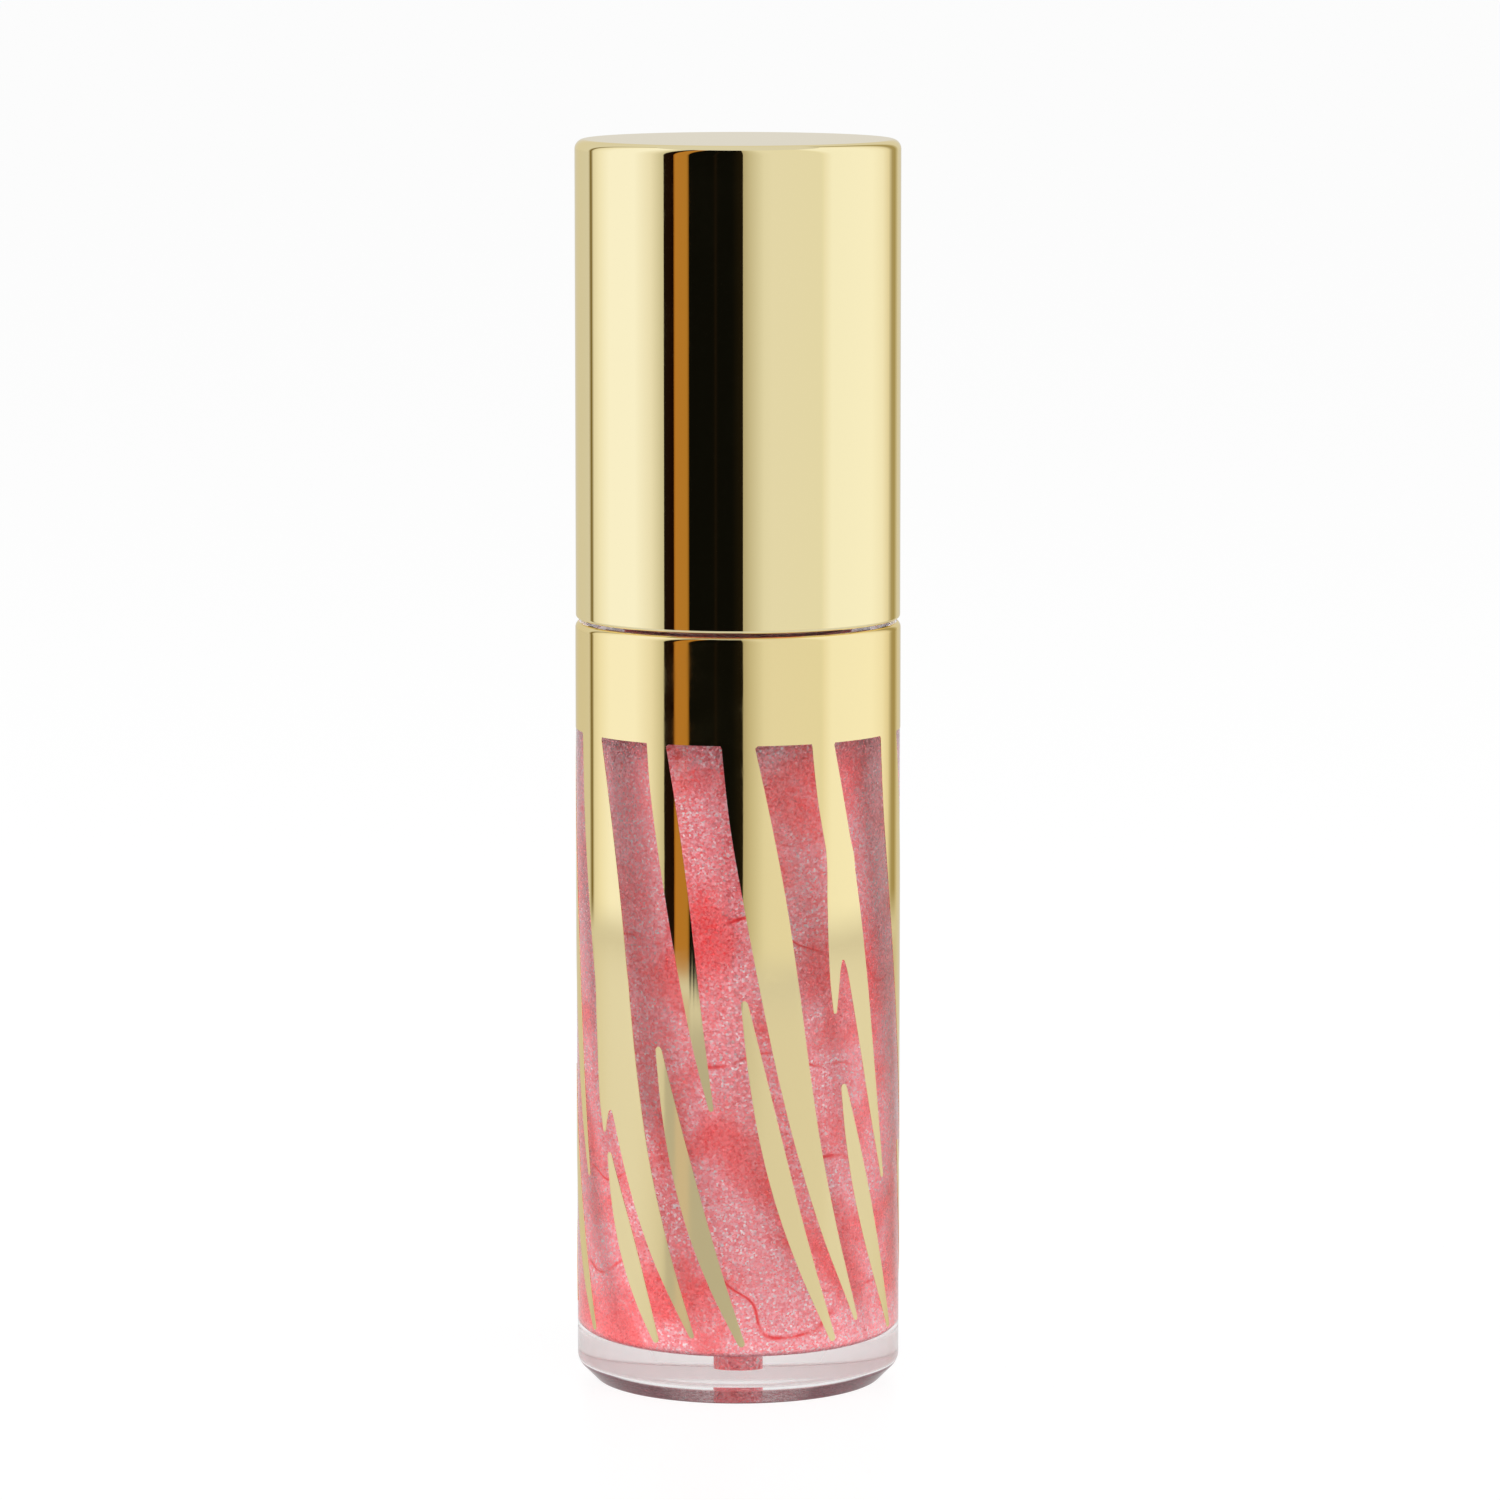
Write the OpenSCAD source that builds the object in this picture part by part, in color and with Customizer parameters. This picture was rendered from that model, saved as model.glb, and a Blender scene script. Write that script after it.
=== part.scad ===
// Lip gloss tube: a thick-walled clear bottle with a foil band, and a weighted screw cap with a wand.
// Millimetres. The origin is at the middle of the base, and +Z points up through the cap.

/* [Outside] */
// Height with the cap screwed home
total_h = 77; // [74:0.5:82]
// Outside diameter of bottle and cap
tube_d = 20; // [20:0.1:21]
// Height of the bottle's shoulder
shoulder_h = 47.4; // [46:0.1:49]
// Gap between the shoulder and the closed cap
closed_gap = 0.2; // [0.1:0.05:0.3]
// Radius of the cap's top edge
cap_edge_r = 0.6; // [0.4:0.1:2]
// Width of the bevel round the bottle's bottom edge
base_bevel = 1.2; // [0.6:0.1:1.6]

/* [Bottle] */
// Thickness of the bottle's floor
floor_t = 2.7; // [2.4:0.1:4]
// Diameter of the gloss chamber
chamber_d = 14; // [12.5:0.1:14.5]
// Thickness of the shoulder above the chamber
shoulder_t = 2; // [1.8:0.1:3]
// Depth of the moulding dimple under the chamber
dimple_h = 1.6; // [0.8:0.1:2]
// Diameter of the moulding dimple
dimple_d = 2; // [1.2:0.1:3]

/* [Neck] */
// Height of the neck above the shoulder
neck_h = 11.5; // [11:0.1:12.5]
// Diameter of the neck between the threads
neck_d = 12.8; // [12.6:0.1:13]
// Bore of the neck
neck_bore_d = 9.8; // [9.6:0.1:10]
// Lead of the single-start thread
pitch = 3; // [2.8:0.1:3.2]
// Height of a thread ridge
thread_h = 0.6; // [0.4:0.05:0.65]
// Turn of the neck's thread in degrees
thread_sweep = 450; // [390:15:480]

/* [Cap] */
// Wall of the drawn outer cap
shell_wall = 0.6; // [0.4:0.1:0.8]
// Thickness of the outer cap's top
shell_top = 0.8; // [0.6:0.1:1.2]
// Length of the steel weight
weight_h = 7.4; // [4:0.1:8]
// Number of grip ribs on the inner cap
rib_count = 12; // [6:1:16]

/* [Wand] */
// Diameter of the stem
stem_d = 3.8; // [3.4:0.1:4]
// Height of the applicator's tip above the base
tip_h = 5; // [4.8:0.1:8]
// Length of the flocked applicator
foot_h = 15; // [12:0.5:18]
// Thickness of the flock
flock_t = 0.3; // [0.15:0.05:0.35]

/* [Foil] */
// Width of the foil band under the shoulder
band_h = 6.2; // [5:0.1:8]
// Thickness of the foil
foil_t = 0.03; // [0.02:0.01:0.05]

/* [Hidden] */
$fn = 96;

tube_r = tube_d / 2;
skim = 0.5;
small_edge_r = 0.4;
edge_steps = 8;

// Bottle
chamber_r = chamber_d / 2;
chamber_top = shoulder_h - shoulder_t;
chamber_slope_h = 1.8;
dimple_r = dimple_d / 2;
neck_r = neck_d / 2;
neck_top = shoulder_h + neck_h;
bore_r = neck_bore_d / 2;
gloss_top = chamber_top - chamber_slope_h - 0.2;

// Threads: both ridges follow one helix, half a lead apart
ridge_root_w = 1.2;
ridge_tip_w = 0.6;
ridge_step = 15;
ridge_fade = 30;
ridge_seat = 0.3;
thread_start = 3.2;
cap_ridge_start = 90;
cap_ridge_sweep = 360;
thread_gap = 0.3;

// Wiper
flange_t = 0.8;
flange_r = neck_r - 0.2;
wiper_r = bore_r - 0.02;
wiper_wall = 0.95;
wiper_h = 11.3;
funnel_h = 3.5;
lip_h = 0.9;
lip_wall = 0.6;
orifice_r = 2.15;
wiper_bottom = neck_top - wiper_h;
funnel_top = wiper_bottom + funnel_h;

// Washer
washer_gap = 0.05;
washer_t = 0.9;
washer_r = 6;
washer_bore_r = 2.2;
washer_z = neck_top + flange_t + washer_gap;

// Cap
cap_bottom = shoulder_h + closed_gap;
rim_edge_r = 0.2;
shell_r = tube_r - shell_wall;
shell_inside_top = total_h - shell_top;
liner_bottom = cap_bottom + 0.4;
liner_bore_r = neck_r + thread_h + thread_gap;
liner_r = shell_r - 0.4;
liner_ceiling = washer_z + washer_t + washer_gap;
liner_top = liner_ceiling + 6;
rib_w = 0.8;
rib_r = shell_r - 0.03;
rib_seat = 0.2;
rib_end = 1;
pocket_wall = 0.5;
pocket_r = liner_r - pocket_wall;
weight_r = pocket_r - 0.2;
weight_z = liner_top + 0.05;
weight_chamfer = 0.5;
pad_z = weight_z + weight_h + 0.05;
pad_r = pocket_r - 0.1;

// Wand
stem_r = stem_d / 2;
plug_r = 3;
plug_h = 5;
bead_r = 2.4;
bead_h = 0.8;
bead_top = washer_z - pitch * thread_sweep / 360 - 0.1;
foot_top = tip_h + foot_h;
core_neck_h = 0.6;
core_neck_r = 1.3;
stem_bottom = foot_top + core_neck_h;
peg_r = 1.05;
peg_h = 5.5;
peg_gap = 0.05;
core_r = stem_r + 0.05 - flock_t;
foot_slant = 15;
foot_cut = 0.5;
bevel_low_r = 0.4;
bevel_top_r = 0.8;
foot_block = 40;
wand_hole_r = 2.45;
wand_hole_bottom = tip_h - 0.6;

// Points of a quarter circle, from angle a to angle b round (x, y)
function arc(x, y, r, a, b) =
    [for (i = [0:edge_steps]) let (t = a + (b - a) * i / edge_steps) [x + r * cos(t), y + r * sin(t)]];

// How far a rounding of radius r reaches along a face that meets a bevel
function bevel_run(r) = r * tan(22.5);

// Share of its full height that a ridge has at angle a of its sweep
function ridge_rise(a, sweep) = max(0.1, min(1, a / ridge_fade, (sweep - a) / ridge_fade));

// The four corners of a ridge's cross-section at angle a
function ridge_ring(root_r, tip_r, z, a, rise) =
    [for (corner = [[root_r, -ridge_root_w / 2], [root_r + (tip_r - root_r) * rise, -ridge_tip_w / 2],
                    [root_r + (tip_r - root_r) * rise, ridge_tip_w / 2], [root_r, ridge_root_w / 2]])
        [corner[0] * cos(a), corner[0] * sin(a), z + corner[1]]];

// A thread ridge on the shared helix, from angle start through sweep degrees, with tapered ends
module ridge(root_r, tip_r, z0, start, sweep) {
    steps = round(sweep / ridge_step);
    points = [for (i = [0:steps]) let (a = sweep * i / steps)
        each ridge_ring(root_r, tip_r, z0 + pitch * (start + a) / 360, start + a, ridge_rise(a, sweep))];
    sides = [for (i = [0:steps - 1]) for (k = [0:3])
        [4 * i + k, 4 * i + (k + 1) % 4, 4 * i + 4 + (k + 1) % 4, 4 * i + 4 + k]];
    triangles = [for (s = sides) each [[s[0], s[2], s[1]], [s[0], s[3], s[2]]]];
    last = 4 * steps;
    ends = [[0, 1, 2], [0, 2, 3], [last + 2, last + 1, last], [last + 3, last + 2, last]];
    faces = concat(triangles, ends);
    polyhedron(points, tip_r < root_r ? faces : [for (f = faces) [f[2], f[1], f[0]]]);
}

// Thick clear body: chamber, neck with its thread, and a dimple in the floor
module bottle() {
    color("gainsboro", 0.4)
    difference() {
        union() {
            rotate_extrude()
            polygon(concat([[0, 0]],
                           arc(tube_r - base_bevel - bevel_run(bevel_low_r), bevel_low_r, bevel_low_r, -90, -45),
                           arc(tube_r - bevel_top_r, base_bevel + bevel_run(bevel_top_r), bevel_top_r, -45, 0),
                           arc(tube_r - small_edge_r, shoulder_h - small_edge_r, small_edge_r, 0, 90),
                           [[0, shoulder_h]]));
            translate([0, 0, shoulder_h - skim]) cylinder(r = neck_r, h = neck_h + skim);
            ridge(neck_r - ridge_seat, neck_r + thread_h, shoulder_h + thread_start, 0, thread_sweep);
        }
        translate([0, 0, floor_t]) cylinder(r = chamber_r, h = chamber_top - chamber_slope_h - floor_t);
        translate([0, 0, chamber_top - chamber_slope_h])
        cylinder(r1 = chamber_r, r2 = bore_r, h = chamber_slope_h);
        translate([0, 0, floor_t - dimple_h]) cylinder(r = dimple_r, h = dimple_h + skim);
        translate([0, 0, chamber_top - skim]) cylinder(r = bore_r, h = neck_top - chamber_top + 2 * skim);
    }
}

// Gloss that fills the chamber round the wand
module gloss_fill() {
    color("lightcoral")
    difference() {
        union() {
            translate([0, 0, floor_t]) cylinder(r = chamber_r, h = gloss_top - floor_t);
            translate([0, 0, floor_t - dimple_h]) cylinder(r = dimple_r, h = dimple_h + skim);
        }
        translate([0, 0, wand_hole_bottom]) cylinder(r = wand_hole_r, h = gloss_top);
    }
}

// Metal foil stamped round the top of the body
module foil_band() {
    color("gold")
    translate([0, 0, shoulder_h - small_edge_r - band_h])
    difference() {
        cylinder(r = tube_r + foil_t, h = band_h);
        translate([0, 0, -skim]) cylinder(r = tube_r, h = band_h + 2 * skim);
    }
}

// Soft insert in the neck, with the small lip that wipes the wand
module wiper() {
    color("white", 0.7)
    difference() {
        union() {
            translate([0, 0, neck_top]) cylinder(r = flange_r, h = flange_t);
            translate([0, 0, funnel_top]) cylinder(r = wiper_r, h = neck_top - funnel_top + flange_t / 2);
            translate([0, 0, wiper_bottom]) cylinder(r1 = orifice_r + lip_wall, r2 = wiper_r, h = funnel_h);
        }
        translate([0, 0, funnel_top + lip_h]) cylinder(r = wiper_r - wiper_wall, h = wiper_h);
        translate([0, 0, wiper_bottom + lip_h])
        cylinder(r1 = orifice_r, r2 = wiper_r - wiper_wall, h = funnel_h);
        translate([0, 0, wiper_bottom - skim]) cylinder(r = orifice_r, h = wiper_h);
    }
}

// Loose washer that seals the cap against the neck
module sealing_washer() {
    color("whitesmoke")
    translate([0, 0, washer_z])
    difference() {
        cylinder(r = washer_r, h = washer_t);
        translate([0, 0, -skim]) cylinder(r = washer_bore_r, h = washer_t + 2 * skim);
    }
}

// Steel slug that gives the cap its heft
module cap_weight() {
    color("dimgray")
    translate([0, 0, weight_z]) {
        cylinder(r1 = weight_r - weight_chamfer, r2 = weight_r, h = weight_chamfer);
        translate([0, 0, weight_chamfer]) cylinder(r = weight_r, h = weight_h - 2 * weight_chamfer);
        translate([0, 0, weight_h - weight_chamfer])
        cylinder(r1 = weight_r, r2 = weight_r - weight_chamfer, h = weight_chamfer);
    }
}

// Drawn outer cap with a mirror finish
module cap_shell() {
    color("goldenrod")
    difference() {
        rotate_extrude()
        polygon(concat([[0, cap_bottom]],
                       arc(tube_r - rim_edge_r, cap_bottom + rim_edge_r, rim_edge_r, -90, 0),
                       arc(tube_r - cap_edge_r, total_h - cap_edge_r, cap_edge_r, 0, 90), [[0, total_h]]));
        translate([0, 0, cap_bottom - skim]) cylinder(r = shell_r, h = shell_inside_top - cap_bottom + skim);
    }
}

// Foam disc that keeps the weight from rattling
module foam_pad() {
    color("lightgray")
    translate([0, 0, pad_z]) cylinder(r = pad_r, h = shell_inside_top - pad_z);
}

// Plastic liner with the cap's thread, the wand's socket and the weight's pocket
module inner_cap() {
    color("ivory")
    difference() {
        union() {
            difference() {
                union() {
                    translate([0, 0, liner_bottom]) cylinder(r = liner_r, h = pad_z - liner_bottom);
                    for (i = [0:rib_count - 1]) {
                        rotate([0, 0, 360 * i / rib_count])
                        translate([liner_r - rib_seat, -rib_w / 2, liner_bottom + rib_end])
                        cube([rib_r - liner_r + rib_seat, rib_w, liner_top - liner_bottom - 2 * rib_end]);
                    }
                }
                translate([0, 0, liner_bottom - skim])
                cylinder(r = liner_bore_r, h = liner_ceiling - liner_bottom + skim);
            }
            ridge(liner_bore_r + ridge_seat, liner_bore_r - thread_h, shoulder_h + thread_start - pitch / 2,
                  cap_ridge_start, cap_ridge_sweep);
        }
        translate([0, 0, liner_top]) cylinder(r = pocket_r, h = shell_inside_top);
        translate([0, 0, liner_ceiling - skim]) cylinder(r = plug_r, h = plug_h + skim);
    }
}

// Wand stem: plug in the cap, bead that keeps the washer, and socket for the applicator
module wand_stem() {
    color("seashell")
    difference() {
        union() {
            translate([0, 0, liner_ceiling]) cylinder(r = plug_r, h = plug_h);
            translate([0, 0, stem_bottom]) cylinder(r = stem_r, h = liner_ceiling - stem_bottom + skim);
            translate([0, 0, bead_top - bead_h]) cylinder(r1 = stem_r, r2 = bead_r, h = bead_h);
        }
        translate([0, 0, stem_bottom - skim]) cylinder(r = peg_r + peg_gap, h = peg_h + 2 * skim);
    }
}

// Slanted doe-foot form of radius r, with its tip at height z
module foot(r, z) {
    intersection() {
        union() {
            translate([0, 0, z + r]) sphere(r = r);
            translate([0, 0, z + r]) cylinder(r = r, h = foot_top - z - r);
        }
        translate([r - core_r - foot_cut, 0, tip_h])
        rotate([0, foot_slant, 0])
        translate([-foot_block, -foot_block / 2, -foot_block / 2])
        cube(foot_block);
    }
}

// Moulded core of the applicator
module applicator_core() {
    color("lavenderblush")
    union() {
        foot(core_r, tip_h + flock_t);
        translate([0, 0, foot_top - skim]) cylinder(r = core_neck_r, h = core_neck_h + skim);
        translate([0, 0, stem_bottom - skim]) cylinder(r = peg_r, h = peg_h + skim);
    }
}

// Short fibres on the core
module applicator_flock() {
    color("pink")
    difference() {
        foot(core_r + flock_t, tip_h);
        foot(core_r, tip_h + flock_t);
    }
}

bottle();
gloss_fill();
foil_band();
wiper();
sealing_washer();
cap_weight();
cap_shell();
foam_pad();
inner_cap();
wand_stem();
applicator_core();
applicator_flock();
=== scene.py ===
import math

import bpy
import mathutils
import numpy as np
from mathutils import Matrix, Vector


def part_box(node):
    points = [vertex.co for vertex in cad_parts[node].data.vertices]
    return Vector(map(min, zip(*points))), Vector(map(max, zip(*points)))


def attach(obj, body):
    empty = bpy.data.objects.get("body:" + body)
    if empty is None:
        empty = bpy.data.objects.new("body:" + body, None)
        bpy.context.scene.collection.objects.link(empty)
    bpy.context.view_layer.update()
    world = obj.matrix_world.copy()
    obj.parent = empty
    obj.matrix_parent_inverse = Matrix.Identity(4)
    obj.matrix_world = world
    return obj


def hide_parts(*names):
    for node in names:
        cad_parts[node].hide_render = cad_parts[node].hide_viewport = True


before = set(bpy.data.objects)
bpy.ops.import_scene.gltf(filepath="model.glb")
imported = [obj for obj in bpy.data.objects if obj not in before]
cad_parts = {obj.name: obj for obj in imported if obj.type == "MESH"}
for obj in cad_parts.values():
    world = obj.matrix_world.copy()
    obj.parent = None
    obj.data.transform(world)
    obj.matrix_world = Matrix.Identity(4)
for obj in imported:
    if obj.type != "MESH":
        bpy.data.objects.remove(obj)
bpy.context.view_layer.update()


# --- Clear bottle ---------------------------------------------------------------------------------
# Injection-moulded clear plastic, polished, with a wall 3 mm thick that magnifies the gloss to the
# full width. The neck carries a right-hand thread, and the gate leaves a short dimple under the chamber.
MM = 0.001
AROUND = 256
SHARP_ANGLE = math.radians(32)
THREAD_ROW = 0.1
GUARD = 0.02

tube_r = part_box("bottle")[1][0] / MM
neck_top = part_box("bottle")[1][2] / MM
total_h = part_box("cap_shell")[1][2] / MM
shoulder_h = neck_top - 11.5
base_bevel = 1.2
bevel_low_r = 0.4
bevel_top_r = 0.8
shoulder_edge_r = 0.4
floor_z = 2.7
chamber_r = 7.0
chamber_edge_r = 0.8
chamber_top = shoulder_h - 2.0
chamber_slope_z = chamber_top - 1.8
dimple_r = 1.0
dimple_z = 1.1
neck_r = 6.4
bore_r = 4.9
lip_edge_r = 0.3

thread_pitch = 3.0
thread_h = 0.6
thread_foot = 0.6
thread_flank = 0.3
thread_run_in = 0.1
thread_z = shoulder_h + 3.2
neck_thread_turns = 1.25


def corner(r, z, radius, start, end, steps=10):
    """Points of a rounded corner about (r, z), in degrees anticlockwise from straight out.

    A further point just before and after it lies on the flats, which keeps their shading flat."""
    turns = [math.radians(start + (end - start) * i / steps) for i in range(steps + 1)]
    arc = [(r + radius * math.cos(a), z + radius * math.sin(a)) for a in turns]
    way = GUARD if end > start else -GUARD
    before, after = turns[0], turns[-1]
    first = (arc[0][0] + way * math.sin(before), arc[0][1] - way * math.cos(before))
    last = (arc[-1][0] - way * math.sin(after), arc[-1][1] + way * math.cos(after))
    return [first, *arc, last]


def rows(r, low, high, step=THREAD_ROW):
    """Points up (or down) a straight wall, close enough together to carry a thread."""
    count = max(1, round(abs(high - low) / step))
    return [(r, low + (high - low) * i / count) for i in range(count + 1)]


def make_piece(name, points, faces, smooth_angle=SHARP_ANGLE):
    """A mesh object from points in millimetres."""
    mesh = bpy.data.meshes.new(name)
    mesh.from_pydata((np.asarray(points, float) * MM).tolist(), [], faces)
    mesh.validate()
    mesh.shade_smooth()
    mesh.set_sharp_from_angle(angle=smooth_angle)
    piece = bpy.data.objects.new(name, mesh)
    bpy.context.scene.collection.objects.link(piece)
    return piece


def lathe(name, outline, around=AROUND, reshape=None):
    """Turns an outline of (radius, height) round the axis.

    reshape(angles, radius, height), if given, returns a new radius for each angle."""
    angles = np.arange(around) * 2 * math.pi / around
    points, rings = [], []
    for r, z in outline:
        if r < 1e-6:
            rings.append([len(points)])
            points.append((0, 0, z))
            continue
        radii = np.full(around, float(r)) if reshape is None else reshape(angles, r, z)
        rings.append(list(range(len(points), len(points) + around)))
        points += list(zip(radii * np.cos(angles), radii * np.sin(angles), [z] * around))
    pairs = list(zip(rings, rings[1:]))
    if len(rings[0]) > 1:
        pairs.append((rings[-1], rings[0]))
    faces = []
    for low, high in pairs:
        for i in range(around):
            k = (i + 1) % around
            if len(low) == 1:
                faces.append((low[0], high[k], high[i]))
            elif len(high) == 1:
                faces.append((low[i], low[k], high[0]))
            else:
                faces.append((low[i], low[k], high[k], high[i]))
    return make_piece(name, points, faces)


def thread_rise(angles, z, start_z, start_turn, turns):
    """How far a thread ridge stands up at a height, from 0 to 1 round the angles.

    The ridge passes start_z at angle 0, and its turns are counted from start_turn."""
    rise = np.zeros_like(angles)
    for turn in range(-1, 3):
        along = angles / (2 * math.pi) + turn
        off = np.abs(z - (start_z + thread_pitch * along))
        flank = np.clip((thread_foot - off) / thread_flank, 0, 1)
        from_end = np.minimum(along - start_turn, start_turn + turns - along)
        run_in = np.clip(from_end / thread_run_in, 0, 1)
        rise = np.maximum(rise, flank * run_in)
    return rise


def neck_shape(angles, r, z):
    """The neck's radius round the angles, with its thread standing up."""
    if abs(r - neck_r) > 0.01 or z < shoulder_h + 1:
        return np.full_like(angles, r)
    return r + thread_h * thread_rise(angles, z, thread_z, 0, neck_thread_turns)


def bevel_run(radius):
    """How far a rounding of this radius reaches along a face that meets a 45 degree bevel."""
    return radius * math.tan(math.radians(22.5))


bottle_outline = (
    [(0, 0), (3, 0)]
    + corner(tube_r - base_bevel - bevel_run(bevel_low_r), bevel_low_r, bevel_low_r, -90, -45, 8)
    + corner(tube_r - bevel_top_r, base_bevel + bevel_run(bevel_top_r), bevel_top_r, -45, 0, 10)
    + corner(tube_r - shoulder_edge_r, shoulder_h - shoulder_edge_r, shoulder_edge_r, 0, 90)
    + corner(neck_r + 0.3, shoulder_h + 0.3, 0.3, -90, -180, 6)
    + rows(neck_r, shoulder_h + 1, neck_top - 1)
    + corner(neck_r - lip_edge_r, neck_top - lip_edge_r, lip_edge_r, 0, 90, 6)
    + corner(bore_r + 0.2, neck_top - 0.2, 0.2, 90, 180, 4)
    + [(bore_r, chamber_top), (chamber_r, chamber_slope_z)]
    + corner(chamber_r - chamber_edge_r, floor_z + chamber_edge_r, chamber_edge_r, 0, -90)
    + [(dimple_r, floor_z), (dimple_r, dimple_z), (0, dimple_z)]
)


def new_material(name):
    """A material with an empty node tree but for its output."""
    made = bpy.data.materials.new(name)
    made.use_nodes = True
    made.node_tree.nodes.clear()
    made.node_tree.nodes.new("ShaderNodeOutputMaterial")
    return made


def add(tree, kind, links=None, **settings):
    """Adds a node. links maps its inputs to values or outputs, and settings are its properties."""
    node = tree.nodes.new(kind)
    for key, value in settings.items():
        setattr(node, key, value)
    for key, value in (links or {}).items():
        if isinstance(value, bpy.types.NodeSocket):
            tree.links.new(value, node.inputs[key])
        else:
            node.inputs[key].default_value = value
    return node


def finish_with(made, shader):
    """Joins a shader's output to the material's output."""
    out = next(n for n in made.node_tree.nodes if n.type == "OUTPUT_MATERIAL")
    made.node_tree.links.new(shader, out.inputs["Surface"])
    return made


def new_group(name, inputs, outputs):
    """A shader node group with float inputs {name: default} and outputs {name: kind}."""
    tree = bpy.data.node_groups.new(name, "ShaderNodeTree")
    for key, value in inputs.items():
        socket = tree.interface.new_socket(key, in_out="INPUT", socket_type="NodeSocketFloat")
        socket.default_value = value
    for key, kind in outputs.items():
        tree.interface.new_socket(key, in_out="OUTPUT", socket_type=kind)
    return tree, tree.nodes.new("NodeGroupInput").outputs, tree.nodes.new("NodeGroupOutput").inputs


def place(tree, group, **values):
    """Puts a node group in a material, with its values."""
    node = tree.nodes.new("ShaderNodeGroup")
    node.node_tree = group
    for key, value in values.items():
        node.inputs[key].default_value = value
    return node.outputs


def ramp(tree, fac, stops, smooth=False):
    """A colour ramp through (position, colour) stops."""
    node = add(tree, "ShaderNodeValToRGB", {"Fac": fac})
    node.color_ramp.interpolation = "EASE" if smooth else "LINEAR"
    marks = node.color_ramp.elements
    while len(marks) < len(stops):
        marks.new(0.5)
    for mark, (position, colour) in zip(marks, stops):
        mark.position = position
        mark.color = (*colour, 1) if len(colour) == 3 else colour
    return node.outputs["Color"]


# Finger marks and faint dents of something carried in a bag, on any polished skin.
handling, group_in, group_out = new_group(
    "handling_marks",
    {"Scale": 1.0, "Smudge": 0.02, "Base": 0.02, "Dent": 0.1},
    {"Roughness": "NodeSocketFloat", "Normal": "NodeSocketVector"},
)
place_at = add(handling, "ShaderNodeTexCoord").outputs["Object"]
sized = add(
    handling, "ShaderNodeVectorMath", {0: place_at, "Scale": group_in["Scale"]}, operation="SCALE"
)
smears = add(
    handling,
    "ShaderNodeTexNoise",
    {"Vector": sized.outputs[0], "Scale": 260.0, "Detail": 5.0, "Roughness": 0.6},
).outputs["Fac"]
smear_mask = ramp(handling, smears, [(0.48, (0, 0, 0)), (0.72, (1, 1, 1))], smooth=True)
added = add(
    handling,
    "ShaderNodeMath",
    {0: smear_mask, 1: group_in["Smudge"], 2: group_in["Base"]},
    operation="MULTIPLY_ADD",
)
handling.links.new(added.outputs[0], group_out["Roughness"])
waves = add(
    handling, "ShaderNodeTexNoise", {"Vector": sized.outputs[0], "Scale": 190.0, "Detail": 2.0}
).outputs["Fac"]
dents = add(
    handling, "ShaderNodeBump", {"Strength": group_in["Dent"], "Distance": 0.00002, "Height": waves}
)
handling.links.new(dents.outputs["Normal"], group_out["Normal"])

# The satin finish of the bevel round the foot: below Height, and further out than Inner.
satin_foot, group_in, group_out = new_group(
    "satin_foot",
    {"Height": 0.0, "Inner": 0.0, "Satin": 0.35},
    {"Roughness": "NodeSocketFloat", "Foot": "NodeSocketFloat"},
)
place_at = add(satin_foot, "ShaderNodeTexCoord").outputs["Object"]
height = add(satin_foot, "ShaderNodeSeparateXYZ", {0: place_at}).outputs["Z"]
low_down = add(satin_foot, "ShaderNodeMath", {0: height, 1: group_in["Height"]}, operation="LESS_THAN")
flat_at = add(
    satin_foot, "ShaderNodeVectorMath", {0: place_at, 1: (1.0, 1.0, 0.0)}, operation="MULTIPLY"
).outputs[0]
from_axis = add(satin_foot, "ShaderNodeVectorMath", {0: flat_at}, operation="LENGTH").outputs["Value"]
outer = add(satin_foot, "ShaderNodeMath", {0: from_axis, 1: group_in["Inner"]}, operation="GREATER_THAN")
on_foot = add(
    satin_foot, "ShaderNodeMath", {0: low_down.outputs[0], 1: outer.outputs[0]}, operation="MULTIPLY"
)
satin = add(
    satin_foot, "ShaderNodeMath", {0: on_foot.outputs[0], 1: group_in["Satin"]}, operation="MULTIPLY"
)
satin_foot.links.new(satin.outputs[0], group_out["Roughness"])
satin_foot.links.new(on_foot.outputs[0], group_out["Foot"])

# Painted refraction: seen from outside, the bevel's slanted sides get a mauve tint that stands for the
# gel seen through them.
CLEAR = (0.985, 0.975, 0.975, 1)
CLEAR_SHADOW = (0.96, 0.95, 0.95, 1)
PAINTED_REFRACTION_MAUVE = (0.10, 0.03, 0.042, 1)
SATIN_TOP = (base_bevel + 0.02) * MM
SATIN_INNER_R = (tube_r - 1.5) * MM
clear_plastic = new_material("clear_plastic")
tree = clear_plastic.node_tree
marks = place(tree, handling, Scale=0.7, Dent=0.04)
foot = place(tree, satin_foot, Height=SATIN_TOP, Inner=SATIN_INNER_R, Satin=0.7)
from_inside = add(tree, "ShaderNodeNewGeometry").outputs["Backfacing"]
foot_haze = add(tree, "ShaderNodeMath", {0: foot["Roughness"], 1: from_inside}, operation="MULTIPLY")
slant = add(tree, "ShaderNodeLayerWeight", {"Blend": 0.5}).outputs["Facing"]
turned_away = add(
    tree, "ShaderNodeMapRange", {"Value": slant, "From Min": 0.40, "From Max": 0.55}
).outputs[0]
from_outside = add(
    tree, "ShaderNodeMath", {0: turned_away, 1: from_inside}, operation="SUBTRACT", use_clamp=True
)
# How much painted refraction, the gel's mauve, goes on the bevel's outside where it turns away from view.
painted_refraction_share = add(tree, "ShaderNodeMath", {0: foot["Foot"], 1: from_outside.outputs[0]}, operation="MULTIPLY")
painted_bevel_refraction = add(
    tree,
    "ShaderNodeMix",
    {0: painted_refraction_share.outputs[0], 6: CLEAR, 7: PAINTED_REFRACTION_MAUVE},
    data_type="RGBA",
)
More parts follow.
